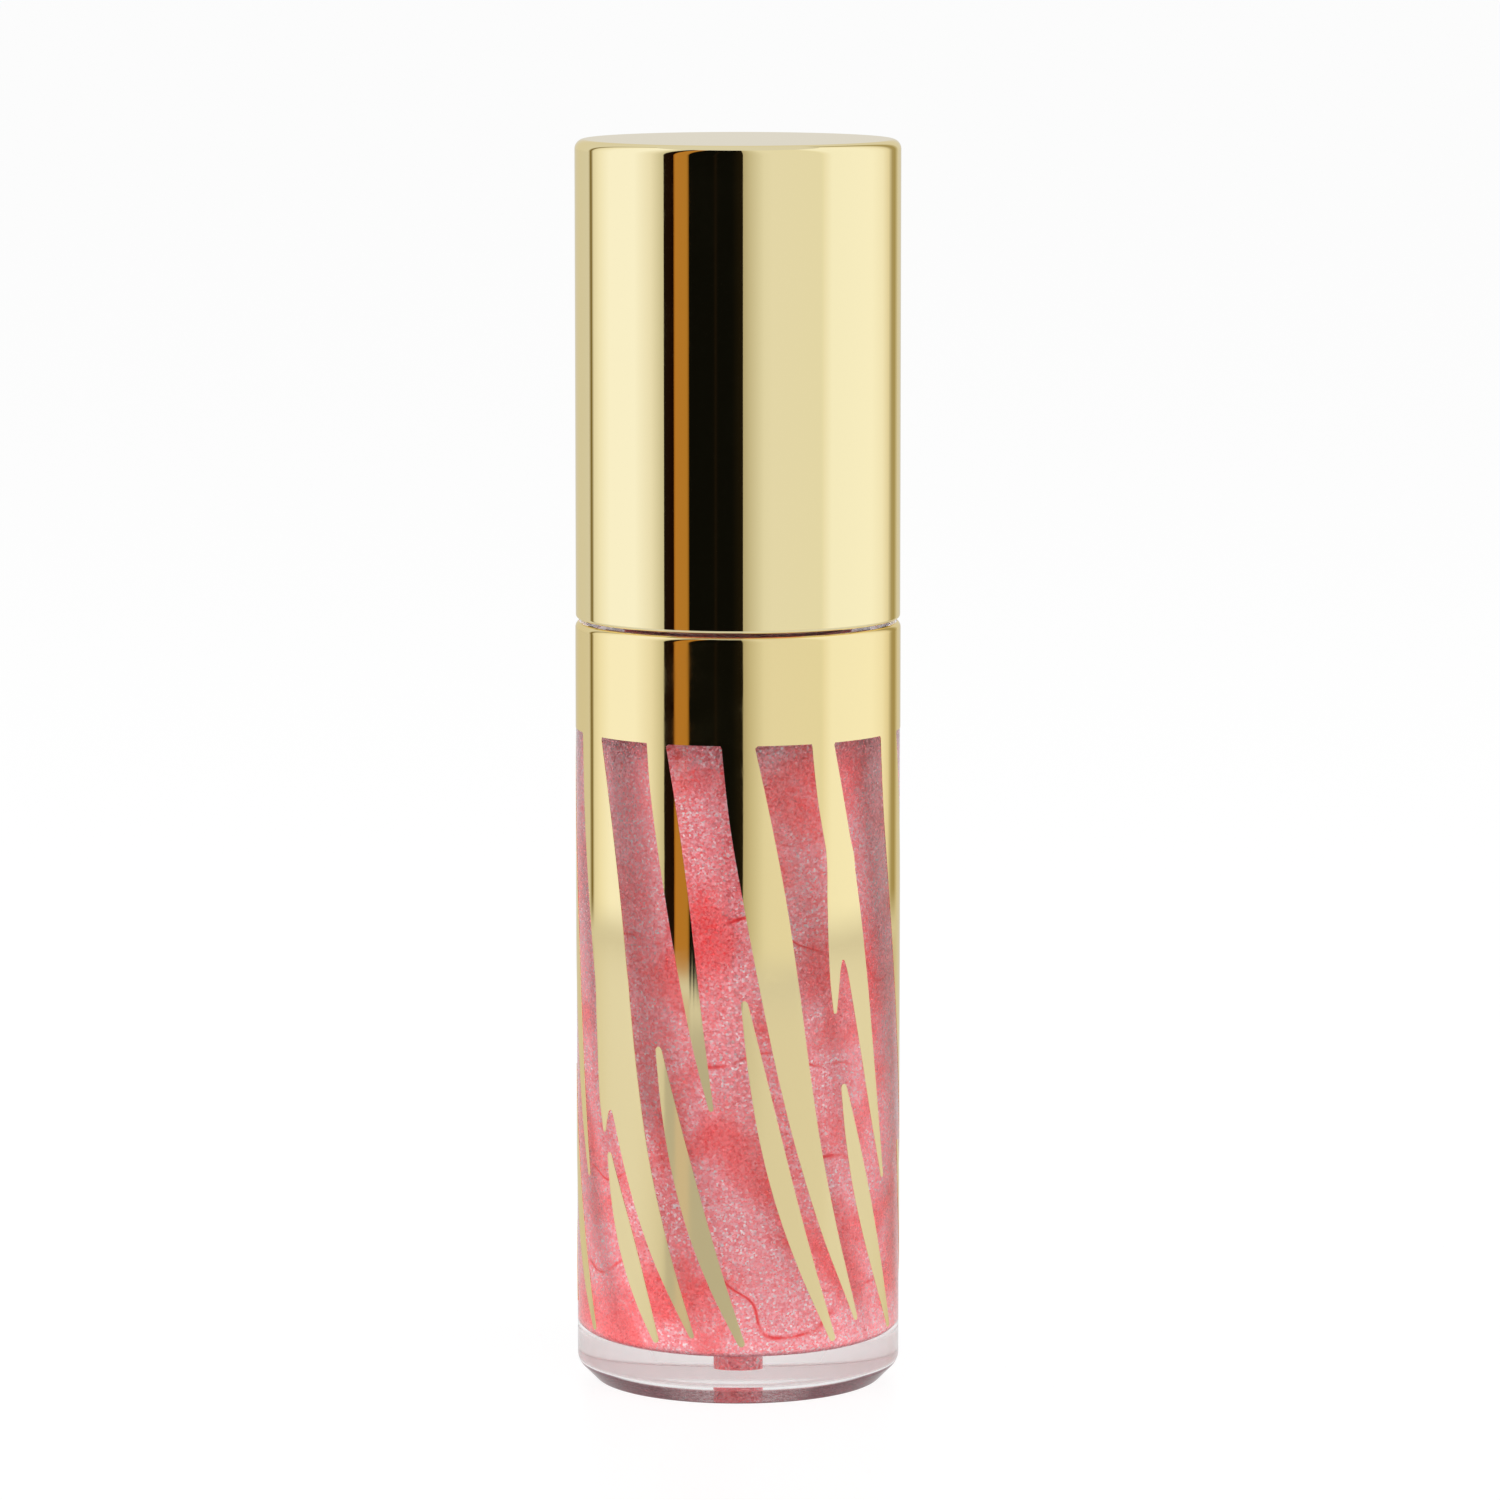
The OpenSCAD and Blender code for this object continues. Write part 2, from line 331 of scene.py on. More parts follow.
body = add(
    tree,
    "ShaderNodeBsdfPrincipled",
    {
        "Base Color": painted_bevel_refraction.outputs[2],
        "IOR": 1.5,
        "Transmission Weight": 1.0,
        "Roughness": foot_haze.outputs[0],
        "Normal": marks["Normal"],
    },
)
lets_light = add(tree, "ShaderNodeBsdfTransparent", {"Color": CLEAR_SHADOW})
is_shadow = add(tree, "ShaderNodeLightPath").outputs["Is Shadow Ray"]
mixed = add(tree, "ShaderNodeMixShader", {0: is_shadow, 1: body.outputs[0], 2: lets_light.outputs[0]})
finish_with(clear_plastic, mixed.outputs[0])

bottle = lathe("bottle_clear_body", bottle_outline, reshape=neck_shape)
bottle.data.materials.append(clear_plastic)
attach(bottle, "tube")
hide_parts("bottle")


# --- Gloss ----------------------------------------------------------------------------------------
# A thick pink-red gel full of pearl flakes, filled to just under the shoulder. It wets the wall, and its
# flakes shine; its pale glittering clouds are painted sheen and glints, and the deep red between is
# painted shade.
WETTING = 0.01

gloss_top = chamber_slope_z - 0.2
gloss_skin = gloss_top - 0.3
wand_hole_r = 2.45
wand_hole_z = 4.4

gloss_outline = (
    [(0, dimple_z - WETTING), (dimple_r + WETTING, dimple_z - WETTING)]
    + [(dimple_r + WETTING, floor_z - WETTING)]
    + corner(chamber_r - chamber_edge_r, floor_z + chamber_edge_r, chamber_edge_r + WETTING, -90, 0)
    + [(chamber_r + WETTING, gloss_top), (chamber_r - 0.6, gloss_skin), (wand_hole_r, gloss_skin)]
    + [(wand_hole_r, wand_hole_z), (0, wand_hole_z)]
)

# Pearl flakes in the gel: a cell for each flake, leaning its own way, so each mirrors another part of
# the room. Soft clouds mix in their pale colour as painted sheen, the palest cells are painted glints,
# thin creases have none, and the gel's underside is darkened to a deep red as painted shade.
CREASE_GAP = 0.0036
CREASE_SAG = 0.016
CREASE_RED = (0.88, 0.02, 0.03, 1)
# The painted shade on the gel's downward faces.
UNDERSIDE_SHADE_RED = (0.40, 0.05, 0.075, 1)
shimmer, group_in, group_out = new_group(
    "pearl_shimmer",
    {"Flake Size": 0.13, "Tilt": 0.9, "Flow": 1.0},
    {"Colour": "NodeSocketColor", "Roughness": "NodeSocketFloat", "Normal": "NodeSocketVector"},
)
place_at = add(shimmer, "ShaderNodeTexCoord").outputs["Object"]
per_metre = add(shimmer, "ShaderNodeMath", {0: 1 / MM, 1: group_in["Flake Size"]}, operation="DIVIDE")
cells = add(
    shimmer,
    "ShaderNodeTexVoronoi",
    {"Vector": place_at, "Scale": per_metre.outputs[0], "Randomness": 1.0},
)
cell_value = add(shimmer, "ShaderNodeSeparateColor", {"Color": cells.outputs["Color"]})
clouds = add(
    shimmer, "ShaderNodeTexNoise", {"Vector": place_at, "Scale": 240.0, "Detail": 3.0, "Roughness": 0.55}
).outputs["Fac"]
drift = add(
    shimmer, "ShaderNodeTexNoise", {"Vector": place_at, "Scale": 95.0, "Detail": 2.0}
).outputs["Fac"]
height = add(shimmer, "ShaderNodeSeparateXYZ", {0: place_at}).outputs["Z"]
sagging = add(shimmer, "ShaderNodeMath", {0: drift, 1: CREASE_SAG, 2: height}, operation="MULTIPLY_ADD")
to_crease = add(shimmer, "ShaderNodeMath", {0: sagging.outputs[0], 1: CREASE_GAP}, operation="PINGPONG")
crease = add(
    shimmer,
    "ShaderNodeMapRange",
    {
        "Value": to_crease.outputs[0],
        "From Min": 0.00005,
        "From Max": 0.00022,
        "To Min": 1.0,
        "To Max": 0.0,
    },
)
broken = ramp(shimmer, clouds, [(0.44, (0, 0, 0)), (0.56, (1, 1, 1))])
crease_now = add(shimmer, "ShaderNodeMath", {0: crease.outputs[0], 1: broken}, operation="MULTIPLY")
crease_on = add(
    shimmer, "ShaderNodeMath", {0: crease_now.outputs[0], 1: group_in["Flow"]}, operation="MULTIPLY"
)
gel = ramp(shimmer, clouds, [(0.3, (0.95, 0.03, 0.035)), (0.7, (0.96, 0.05, 0.055))])
# Pale pearl colours for each flake cell; the palest, near white, are painted glints.
pearl_and_glint = ramp(
    shimmer,
    cell_value.outputs[1],
    [
        (0.0, (0.93, 0.15, 0.18)),
        (0.55, (0.95, 0.28, 0.33)),
        (0.88, (0.97, 0.56, 0.62)),
        (1.0, (1, 0.95, 0.97)),
    ],
)
# Painted sheen and shade: soft clouds mix the pale pearl colour into the red gel in patches and leave the
# rest deep red.
sheen_noise = add(
    shimmer, "ShaderNodeTexNoise", {"Vector": place_at, "Scale": 170.0, "Detail": 2.0, "Distortion": 0.6}
).outputs["Fac"]
sheen = ramp(shimmer, sheen_noise, [(0.36, (0.12, 0.12, 0.12)), (0.58, (0.9, 0.9, 0.9))], smooth=True)
body_colour = add(shimmer, "ShaderNodeMix", {0: sheen, 6: gel, 7: pearl_and_glint}, data_type="RGBA")
colour = add(
    shimmer,
    "ShaderNodeMix",
    {0: crease_on.outputs[0], 6: body_colour.outputs[2], 7: CREASE_RED},
    data_type="RGBA",
)
# Painted shade: faces of the gel that look down are darkened to a deep red.
upright = add(shimmer, "ShaderNodeNewGeometry").outputs["Normal"]
facing = add(shimmer, "ShaderNodeSeparateXYZ", {0: upright}).outputs["Z"]
underside_shade = add(
    shimmer,
    "ShaderNodeMapRange",
    {"Value": facing, "From Min": -0.95, "From Max": -0.6, "To Min": 1.0, "To Max": 0.0},
)
underside_shaded_colour = add(
    shimmer,
    "ShaderNodeMix",
    {0: underside_shade.outputs[0], 6: colour.outputs[2], 7: UNDERSIDE_SHADE_RED},
    data_type="RGBA",
)
shimmer.links.new(underside_shaded_colour.outputs[2], group_out["Colour"])
smooth = add(
    shimmer, "ShaderNodeMapRange", {"Value": cell_value.outputs[2], "To Min": 0.14, "To Max": 0.34}
)
rough = add(
    shimmer, "ShaderNodeMath", {0: smooth.outputs[0], 1: crease_on.outputs[0]}, operation="MAXIMUM"
)
shimmer.links.new(rough.outputs[0], group_out["Roughness"])
lean = add(
    shimmer,
    "ShaderNodeVectorMath",
    {0: cells.outputs["Color"], 1: (0.5, 0.5, 0.5)},
    operation="SUBTRACT",
)
leaned = add(
    shimmer, "ShaderNodeVectorMath", {0: lean.outputs[0], "Scale": group_in["Tilt"]}, operation="SCALE"
)
turned = add(shimmer, "ShaderNodeVectorMath", {0: upright, 1: leaned.outputs[0]}, operation="ADD")
tilted = add(shimmer, "ShaderNodeVectorMath", {0: turned.outputs[0]}, operation="NORMALIZE")
shimmer.links.new(tilted.outputs[0], group_out["Normal"])

PEARL_IOR = 2.0
pink_gel = new_material("pink_gel")
tree = pink_gel.node_tree
pearl_now = place(tree, shimmer, **{"Flake Size": 0.12, "Tilt": 0.8, "Flow": 1.0})
gel_body = add(
    tree,
    "ShaderNodeBsdfPrincipled",
    {
        "Base Color": pearl_now["Colour"],
        "IOR": PEARL_IOR,
        "Normal": pearl_now["Normal"],
        "Roughness": pearl_now["Roughness"],
    },
)
finish_with(pink_gel, gel_body.outputs[0])

gloss = lathe("gloss_gel", gloss_outline)
gloss.data.materials.append(pink_gel)
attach(gloss, "tube")
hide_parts("gloss_fill")


# --- Foil print -----------------------------------------------------------------------------------
# Gold mirror foil, hot-stamped round the bottle: a plain band below the shoulder that wraps over its
# edge, and animal stripes that run down from it, fork and thin out above the base.
FOIL_T = 0.026
FOIL_LIFT = 0.004
FOIL_STEP = 0.15
WRAP_TURN = 62
RUN_STEPS = 10
FILLET = 0.8
FOIL_LOW = 3.0
FAR = 4.0

band_z = shoulder_h - shoulder_edge_r - 6.2
band_top = shoulder_h - shoulder_edge_r

# The stripes' points are (degrees round, height, half width), and sizes come round every seven.
LONG_STRIPES = 11
STRIPE_GAP = 360 / LONG_STRIPES
STRIPE_START = band_z + 0.8
STRIPE_FOOT = 4.0
STRIPE_LEAN = 54
STRIPE_ENDS = (5.0, 13.5, 4.4, 18.5, 8.5, 4.2, 15.5)
STRIPE_WIDTHS = (1.05, 0.75, 1.45, 0.6, 0.95, 1.3, 0.7)
SHORT_TOPS = (19.5, 15.0, 22.0, 25.0, 17.5, 21.0, 24.0)
SIZES = len(STRIPE_ENDS)
STRIPE_SWAY = 4


def leaning(height, phase):
    """How far round, in degrees, a stripe has swung by this height."""
    down = (STRIPE_START - height) / (STRIPE_START - STRIPE_FOOT)
    return STRIPE_LEAN * down**1.5 + STRIPE_SWAY * math.sin(5 * down + phase)


def long_stripe(number, loose):
    """A stripe hanging from the band: it sways, leans to the right and thins out to a point."""
    start = number * STRIPE_GAP + loose.uniform(-3, 3)
    phase = loose.uniform(0, 0.8)
    end = STRIPE_ENDS[number % SIZES]
    width = STRIPE_WIDTHS[number % SIZES]
    points = []
    for t in np.linspace(0, 1, 8):
        height = STRIPE_START + (end - STRIPE_START) * t
        swell = (0.75 + 0.6 * math.sin(math.pi * t**0.8)) * (1 - t) ** 0.5
        points.append((start + leaning(height, phase), height, width * swell + 0.15))
    return points


def fork(stripe, loose):
    """A branch that leaves a long stripe to the left, drops and ends in a point."""
    turn, top, width = stripe[loose.integers(1, 4)]
    drop = loose.uniform(9, 14)
    reach = loose.uniform(13, 18)
    start = turn - leaning(top, 0)
    points = []
    for t in np.linspace(0, 1, 6):
        height = top - drop * t
        half = width * 0.6 * (1 - t) ** 0.6 + 0.12
        points.append((start + leaning(height, 0) - reach * t**0.7, height, half))
    return points


def short_stripe(number, loose):
    """A stripe that rises from near the base into the gap between two long ones."""
    foot = (number + 0.5) * STRIPE_GAP + loose.uniform(-2, 2)
    top = SHORT_TOPS[number % SIZES]
    points = []
    for t in np.linspace(0, 1, 6):
        height = STRIPE_FOOT + (top - STRIPE_FOOT) * t
        half = 0.6 * math.sin(math.pi * (0.06 + 0.88 * t)) + 0.1
        points.append((foot + leaning(height, 0.4), height, half))
    return points


loose = np.random.default_rng(11)
stripes = []
for number in range(LONG_STRIPES):
    stripe = long_stripe(number, loose)
    stripes.append(stripe)
    if number % 2:
        stripes.append(fork(stripe, loose))
    stripes.append(short_stripe(number, loose))


def smooth_run(points, steps=RUN_STEPS):
    """A smooth run (Catmull-Rom) through the points of a stripe."""
    p = np.array([points[0], *points, points[-1]], float)
    run = []
    for a, b, c, d in zip(p, p[1:], p[2:], p[3:]):
        for t in np.arange(steps) / steps:
            square = (2 * a - 5 * b + 4 * c - d) * t**2
            cube = (3 * b - a - 3 * c + d) * t**3
            run.append(0.5 * (2 * b + (c - a) * t + square + cube))
    return np.array([*run, p[-1]])


def stripe_depth(across, up, run):
    """How deep each point lies inside a stripe, in millimetres; below 0 is outside."""
    field = np.full((len(up), len(across)), -FAR)
    for (ax, ay, aw), (bx, by, bw) in zip(run, run[1:]):
        near_x = (across > min(ax, bx) - FAR) & (across < max(ax, bx) + FAR)
        near_y = (up > min(ay, by) - FAR) & (up < max(ay, by) + FAR)
        box = np.ix_(near_y, near_x)
        if not (near_x.any() and near_y.any()):
            continue
        x, y = np.meshgrid(across[near_x], up[near_y])
        length2 = max((bx - ax) ** 2 + (by - ay) ** 2, 1e-9)
        t = np.clip(((x - ax) * (bx - ax) + (y - ay) * (by - ay)) / length2, 0, 1)
        depth = aw + (bw - aw) * t - np.hypot(x - ax - t * (bx - ax), y - ay - t * (by - ay))
        field[box] = np.maximum(field[box], depth)
    return field


def wrapped(across, height, lift):
    """A point of the bottle's outside, lift millimetres off it, with the shoulder's edge rolled over."""
    angle = across / tube_r - math.pi / 2
    over = max(0, height - band_top) / shoulder_edge_r
    r = tube_r + lift
    z = height
    if over > 0:
        r = tube_r - shoulder_edge_r + (shoulder_edge_r + lift) * math.cos(over)
        z = band_top + (shoulder_edge_r + lift) * math.sin(over)
    return (r * math.cos(angle), r * math.sin(angle), z), (
        math.cos(angle) * math.cos(over),
        math.sin(angle) * math.cos(over),
        math.sin(over),
    )


def foil_sheet():
    """The foil as one thin closed sheet, cut along the stripes' edges.

    It is a net of small squares over the unrolled bottle. Where the depth field changes sign inside a
    square, the face is cut at the zero; outer and inner skins are then joined along their open edges."""
    girth = 2 * math.pi * tube_r
    columns = round(girth / FOIL_STEP)
    across = np.arange(columns + 1) * girth / columns
    plain = np.arange(FOIL_LOW, band_top, FOIL_STEP)
    wrap = band_top + shoulder_edge_r * np.radians(np.linspace(0, WRAP_TURN, 13))
    up = np.concatenate([plain[plain < band_top - 0.05], wrap])
    field = np.full((len(up), columns + 1), -FAR)
    for stripe in stripes:
        run = smooth_run([(math.radians(turn) * tube_r, height, width) for turn, height, width in stripe])
        for lap in (-girth, 0, girth):
            depth = stripe_depth(across, up, run + np.array([lap, 0, 0]))
            close = np.maximum(FILLET - np.abs(field - depth), 0) / FILLET
            field = np.maximum(field, depth) + FILLET * close**2 / 4
    field = np.maximum(field, (up - band_z)[:, None])
    field[:, -1] = field[:, 0]
    field[np.abs(field) < 1e-4] = 1e-4

    points, normals, index = [], [], {}

    def vertex(key, x, h, outer):
        key = (key, outer)
        if key not in index:
            spot, normal = wrapped(x, h, FOIL_LIFT + (FOIL_T if outer else 0))
            index[key] = len(points)
            points.append(spot)
            normals.append(normal if outer else tuple(-n for n in normal))
        return index[key]

    def node(i, k, outer):
        return vertex((i, k % columns), across[k % columns], up[i], outer)

    def crossing(i, k, j, l, outer):
        a, b = sorted([(i, k), (j, l)])
        fa, fb = field[a], field[b]
        t = fa / (fa - fb)
        x = across[a[1]] + t * (across[b[1]] - across[a[1]])
        h = up[a[0]] + t * (up[b[0]] - up[a[0]])
        return vertex(((a[0], a[1] % columns), (b[0], b[1] % columns)), x, h, outer)

    faces = []
    for i in range(len(up) - 1):
        for k in range(columns):
            ring = [(i, k), (i, k + 1), (i + 1, k + 1), (i + 1, k)]
            inside = [field[c] > 0 for c in ring]
            if not any(inside):
                continue
            for outer in (True, False):
                loop = []
                for n, c in enumerate(ring):
                    d = ring[(n + 1) % 4]
                    if inside[n]:
                        loop.append(node(*c, outer))
                    if inside[n] != inside[(n + 1) % 4]:
                        loop.append(crossing(*c, *d, outer))
                faces.append(loop if outer else loop[::-1])
    edges = []
    for loop in faces:
        edges += zip(loop, loop[1:] + loop[:1])
    edges = list(dict.fromkeys(edges))
    used = set(edges)
    partner = {}
    for (key, outer), v in index.items():
        partner.setdefault(key, {})[outer] = v
    inner_of = {both[True]: both[False] for both in partner.values() if len(both) == 2}
    for a, b in edges:
        if (b, a) not in used and a in inner_of and b in inner_of:
            faces.append([b, a, inner_of[a], inner_of[b]])
    sheet = make_piece("foil_print", points, faces)
    sheet.data.normals_split_custom_set_from_vertices(normals)
    return sheet


foil_print = foil_sheet()

FOIL_GOLD = (0.92, 0.78, 0.43, 1)
FOIL_EDGE = (0.96, 0.88, 0.66, 1)
gold_foil = new_material("gold_foil")
tree = gold_foil.node_tree
marks = place(tree, handling, Scale=1.0, Smudge=0.05, Base=0.035, Dent=0.25)
foil_skin = add(
    tree,
    "ShaderNodeBsdfPrincipled",
    {
        "Base Color": FOIL_GOLD,
        "Metallic": 1.0,
        "Specular Tint": FOIL_EDGE,
        "Roughness": marks["Roughness"],
        "Normal": marks["Normal"],
    },
)
finish_with(gold_foil, foil_skin.outputs[0])
foil_print.data.materials.append(gold_foil)
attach(foil_print, "tube")
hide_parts("foil_band")


# --- Wiper ----------------------------------------------------------------------------------------
# Soft natural polyethylene, pressed into the neck down to its flange. Its funnel ends in a thin lip
# that wipes the wand as it comes out.
wiper_outer_r = bore_r - 0.02
wiper_inner_r = wiper_outer_r - 0.95
wiper_z = neck_top - 11.3
funnel_z = wiper_z + 3.5
flange_t = 0.8
orifice_r = 2.15

wiper_outline = (
    corner(orifice_r + 0.15, wiper_z + 0.15, 0.15, 180, 270, 4)
    + [(orifice_r + 0.55, wiper_z), (wiper_outer_r, funnel_z), (wiper_outer_r, neck_top - 0.05)]
    + [(wiper_outer_r + 0.05, neck_top + 0.005)]
    + corner(neck_r - 0.4, neck_top + 0.2, 0.195, -90, 0, 4)
    + corner(neck_r - 0.5, neck_top + flange_t - 0.3, 0.3, 0, 90, 6)
    + corner(wiper_inner_r + 0.4, neck_top + flange_t - 0.4, 0.4, 90, 180, 6)
    + [(wiper_inner_r, funnel_z + 0.9)]
    + [(orifice_r + 0.25, wiper_z + 1.1), (orifice_r, wiper_z + 0.7)]
)

# The faint mottle and orange-peel skin of an unpolished moulding.
moulding, group_in, group_out = new_group(
    "moulded_skin",
    {"Tone": 0.9, "Mottle": 0.04, "Base": 0.35},
    {"Tone": "NodeSocketFloat", "Roughness": "NodeSocketFloat", "Height": "NodeSocketFloat"},
)
place_at = add(moulding, "ShaderNodeTexCoord").outputs["Object"]
blotch = add(
    moulding, "ShaderNodeTexNoise", {"Vector": place_at, "Scale": 420.0, "Detail": 3.0}
).outputs["Fac"]
grain = add(
    moulding, "ShaderNodeTexNoise", {"Vector": place_at, "Scale": 5200.0, "Detail": 2.0}
).outputs["Fac"]
tone = add(
    moulding,
    "ShaderNodeMath",
    {0: blotch, 1: group_in["Mottle"], 2: group_in["Tone"]},
    operation="MULTIPLY_ADD",
)
rough = add(moulding, "ShaderNodeMath", {0: grain, 1: 0.2, 2: group_in["Base"]}, operation="MULTIPLY_ADD")
moulding.links.new(tone.outputs[0], group_out["Tone"])
moulding.links.new(rough.outputs[0], group_out["Roughness"])
moulding.links.new(grain, group_out["Height"])


def moulded_plastic(name, tint, tone_low, roughness, scatter):
    """A satin moulding of one plastic, with its mottle and grain."""
    made = new_material(name)
    tree = made.node_tree
    skin = place(tree, moulding, Tone=tone_low, Mottle=0.08, Base=roughness)
    shade = add(tree, "ShaderNodeVectorMath", {0: tint, "Scale": skin["Tone"]}, operation="SCALE")
    bump = add(tree, "ShaderNodeBump", {"Strength": 0.15, "Distance": 0.00002, "Height": skin["Height"]})
    plastic = add(
        tree,
        "ShaderNodeBsdfPrincipled",
        {
            "Base Color": shade.outputs[0],
            "Roughness": skin["Roughness"],
            "Normal": bump.outputs[0],
            "Subsurface Weight": scatter,
            "Subsurface Radius": (0.0012, 0.0011, 0.001),
            "Subsurface Scale": 1.0,
        },
    )
    return finish_with(made, plastic.outputs[0])


wiper = lathe("wiper_insert", wiper_outline, around=128)
wiper.data.materials.append(moulded_plastic("wiper_polyethylene", (1.0, 0.99, 0.96), 0.84, 0.3, 0.4))
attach(wiper, "tube")
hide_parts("wiper")


# --- Sealing washer -------------------------------------------------------------------------------
# A die-cut ring of white foamed polyethylene, loose on the stem, squeezed between lip and cap.
washer_z = neck_top + flange_t + 0.05
washer_t = 0.9
washer_r = 6.0
washer_bore_r = 2.2

washer_outline = (
    corner(washer_bore_r + 0.1, washer_z + 0.1, 0.1, 180, 270, 3)
    + corner(washer_r - 0.15, washer_z + 0.15, 0.15, -90, 0, 4)
    + corner(washer_r - 0.15, washer_z + washer_t - 0.15, 0.15, 0, 90, 4)
    + corner(washer_bore_r + 0.1, washer_z + washer_t - 0.1, 0.1, 90, 180, 3)
)
washer = lathe("sealing_washer_ring", washer_outline, around=128)
washer.data.materials.append(moulded_plastic("washer_foam", (1.0, 1.0, 0.98), 0.86, 0.6, 0.2))
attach(washer, "washer")
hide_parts("sealing_washer")


# --- Outer cap ------------------------------------------------------------------------------------
# A drawn aluminium cup, polished and anodised gold to a mirror, with a tight radius round its top and
# a rolled rim. It is pushed over the liner's ribs.
cap_bottom = shoulder_h + 0.2
cap_wall = 0.6
cap_top_t = 0.8
cap_edge_r = 0.6
rim_r = 0.2

cap_outline = (
    [(0, total_h - cap_top_t)]
    + corner(tube_r - cap_wall - 0.3, total_h - cap_top_t - 0.3, 0.3, 90, 0, 6)
    + corner(tube_r - cap_wall + 0.15, cap_bottom + 0.15, 0.15, 180, 270, 5)
    + corner(tube_r - rim_r, cap_bottom + rim_r, rim_r, -90, 0, 8)
    + corner(tube_r - cap_edge_r, total_h - cap_edge_r, cap_edge_r, 0, 90, 14)
    + [(tube_r * 0.5, total_h), (0, total_h)]
)
GOLD = (0.93, 0.82, 0.50, 1)
GOLD_EDGE = (0.97, 0.90, 0.70, 1)
gold_cap = new_material("gold_cap")
tree = gold_cap.node_tree
marks = place(tree, handling, Scale=0.8, Smudge=0.03, Base=0.018, Dent=0.1)
cap_skin = add(
    tree,
    "ShaderNodeBsdfPrincipled",
    {
        "Base Color": GOLD,
        "Metallic": 1.0,
        "Specular Tint": GOLD_EDGE,
        "Roughness": marks["Roughness"],
        "Normal": marks["Normal"],
    },
)
finish_with(gold_cap, cap_skin.outputs[0])

cap = lathe("cap_gold_shell", cap_outline)
cap.data.materials.append(gold_cap)
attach(cap, "cap")
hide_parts("cap_shell")


# --- Cap liner ------------------------------------------------------------------------------------
# Natural polypropylene with the cap's thread inside, grip ribs outside, a socket for the wand and an
# open pocket above for the weight.
liner_bottom = cap_bottom + 0.4
liner_bore_r = neck_r + thread_h + 0.3
liner_r = tube_r - cap_wall - 0.4
liner_ceiling = washer_z + washer_t + 0.05
liner_top = liner_ceiling + 6.0
pocket_r = liner_r - 0.5
pad_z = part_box("foam_pad")[0][2] / MM
plug_r = 3.0
plug_h = 5.0
RIBS = 12
rib_h = 0.37
rib_foot = 0.55
rib_flank = 0.3


def liner_shape(angles, r, z):
    """The liner's radius round the angles: its thread stands inward, and its ribs outward."""
    if abs(r - liner_bore_r) < 0.01 and liner_bottom + 0.3 < z < liner_ceiling - 0.5:
        return r - thread_h * thread_rise(angles, z, thread_z - thread_pitch / 2, 0.25, 1.0)
    if abs(r - liner_r) < 0.01 and liner_bottom + 1 < z < liner_top - 1:
        off = np.abs((angles * RIBS / (2 * math.pi) + 0.5) % 1 - 0.5) * 2 * math.pi * liner_r / RIBS
        return r + rib_h * np.clip((rib_foot - off) / rib_flank, 0, 1)
    return np.full_like(angles, r)


liner_outline = (
    [(0, liner_ceiling + plug_h), (plug_r, liner_ceiling + plug_h), (plug_r, liner_ceiling)]
    + corner(liner_bore_r - 0.3, liner_ceiling - 0.3, 0.3, 90, 0, 5)
    + rows(liner_bore_r, liner_ceiling - 0.6, liner_bottom + 0.3)
    + corner(liner_bore_r + 0.3, liner_bottom + 0.3, 0.3, 180, 270, 5)
    + corner(liner_r - 0.2, liner_bottom + 0.2, 0.2, -90, 0, 4)
    + [(liner_r, liner_bottom + 0.95), (liner_r, liner_bottom + 1.1), (liner_r, liner_top - 1.1)]
    + [(liner_r, liner_top - 0.95), (liner_r, pad_z), (pocket_r, pad_z)]
    + [(pocket_r, liner_top), (0, liner_top)]
)
liner = lathe("cap_liner", liner_outline, reshape=liner_shape)
liner.data.materials.append(moulded_plastic("liner_polypropylene", (1.0, 0.985, 0.95), 0.82, 0.32, 0.3))
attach(liner, "cap")
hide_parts("inner_cap")


# --- Weight and foam pad --------------------------------------------------------------------------
# A turned steel slug, loose in the liner's pocket, and a die-cut foam disc over it that stops rattles.
turned_steel = new_material("turned_steel")
tree = turned_steel.node_tree
coords = add(tree, "ShaderNodeTexCoord").outputs["Object"]
rings = add(
    tree,
    "ShaderNodeTexWave",
    {"Vector": coords, "Scale": 1800.0, "Distortion": 0.6},
    wave_type="RINGS",
    rings_direction="Z",
)
tool_marks = add(
    tree, "ShaderNodeBump", {"Strength": 0.2, "Distance": 0.00001, "Height": rings.outputs["Fac"]}
)
steel_rough = add(
    tree, "ShaderNodeMapRange", {"Value": rings.outputs["Fac"], "To Min": 0.28, "To Max": 0.42}
)
steel = add(
    tree,
    "ShaderNodeBsdfPrincipled",
    {
        "Base Color": (0.56, 0.56, 0.57, 1),
        "Metallic": 1.0,
        "Roughness": steel_rough.outputs[0],
        "Normal": tool_marks.outputs[0],
    },
)
finish_with(turned_steel, steel.outputs[0])

grey_foam = new_material("grey_foam")
tree = grey_foam.node_tree
coords = add(tree, "ShaderNodeTexCoord").outputs["Object"]
bubbles = add(tree, "ShaderNodeTexVoronoi", {"Vector": coords, "Scale": 4500.0})
foam_greys = [(0.0, (0.03, 0.03, 0.032)), (0.8, (0.11, 0.11, 0.115))]
foam_colour = ramp(tree, bubbles.outputs["Distance"], foam_greys)
foam_pits = add(
    tree, "ShaderNodeBump", {"Strength": 0.6, "Distance": 0.0001, "Height": bubbles.outputs["Distance"]}
)
foam = add(
    tree,
    "ShaderNodeBsdfPrincipled",
    {"Base Color": foam_colour, "Roughness": 0.9, "Normal": foam_pits.outputs[0]},
)
finish_with(grey_foam, foam.outputs[0])

for node_name, finish in (("cap_weight", turned_steel), ("foam_pad", grey_foam)):
    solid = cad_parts[node_name]
    solid.data.materials.clear()
    solid.data.materials.append(finish)


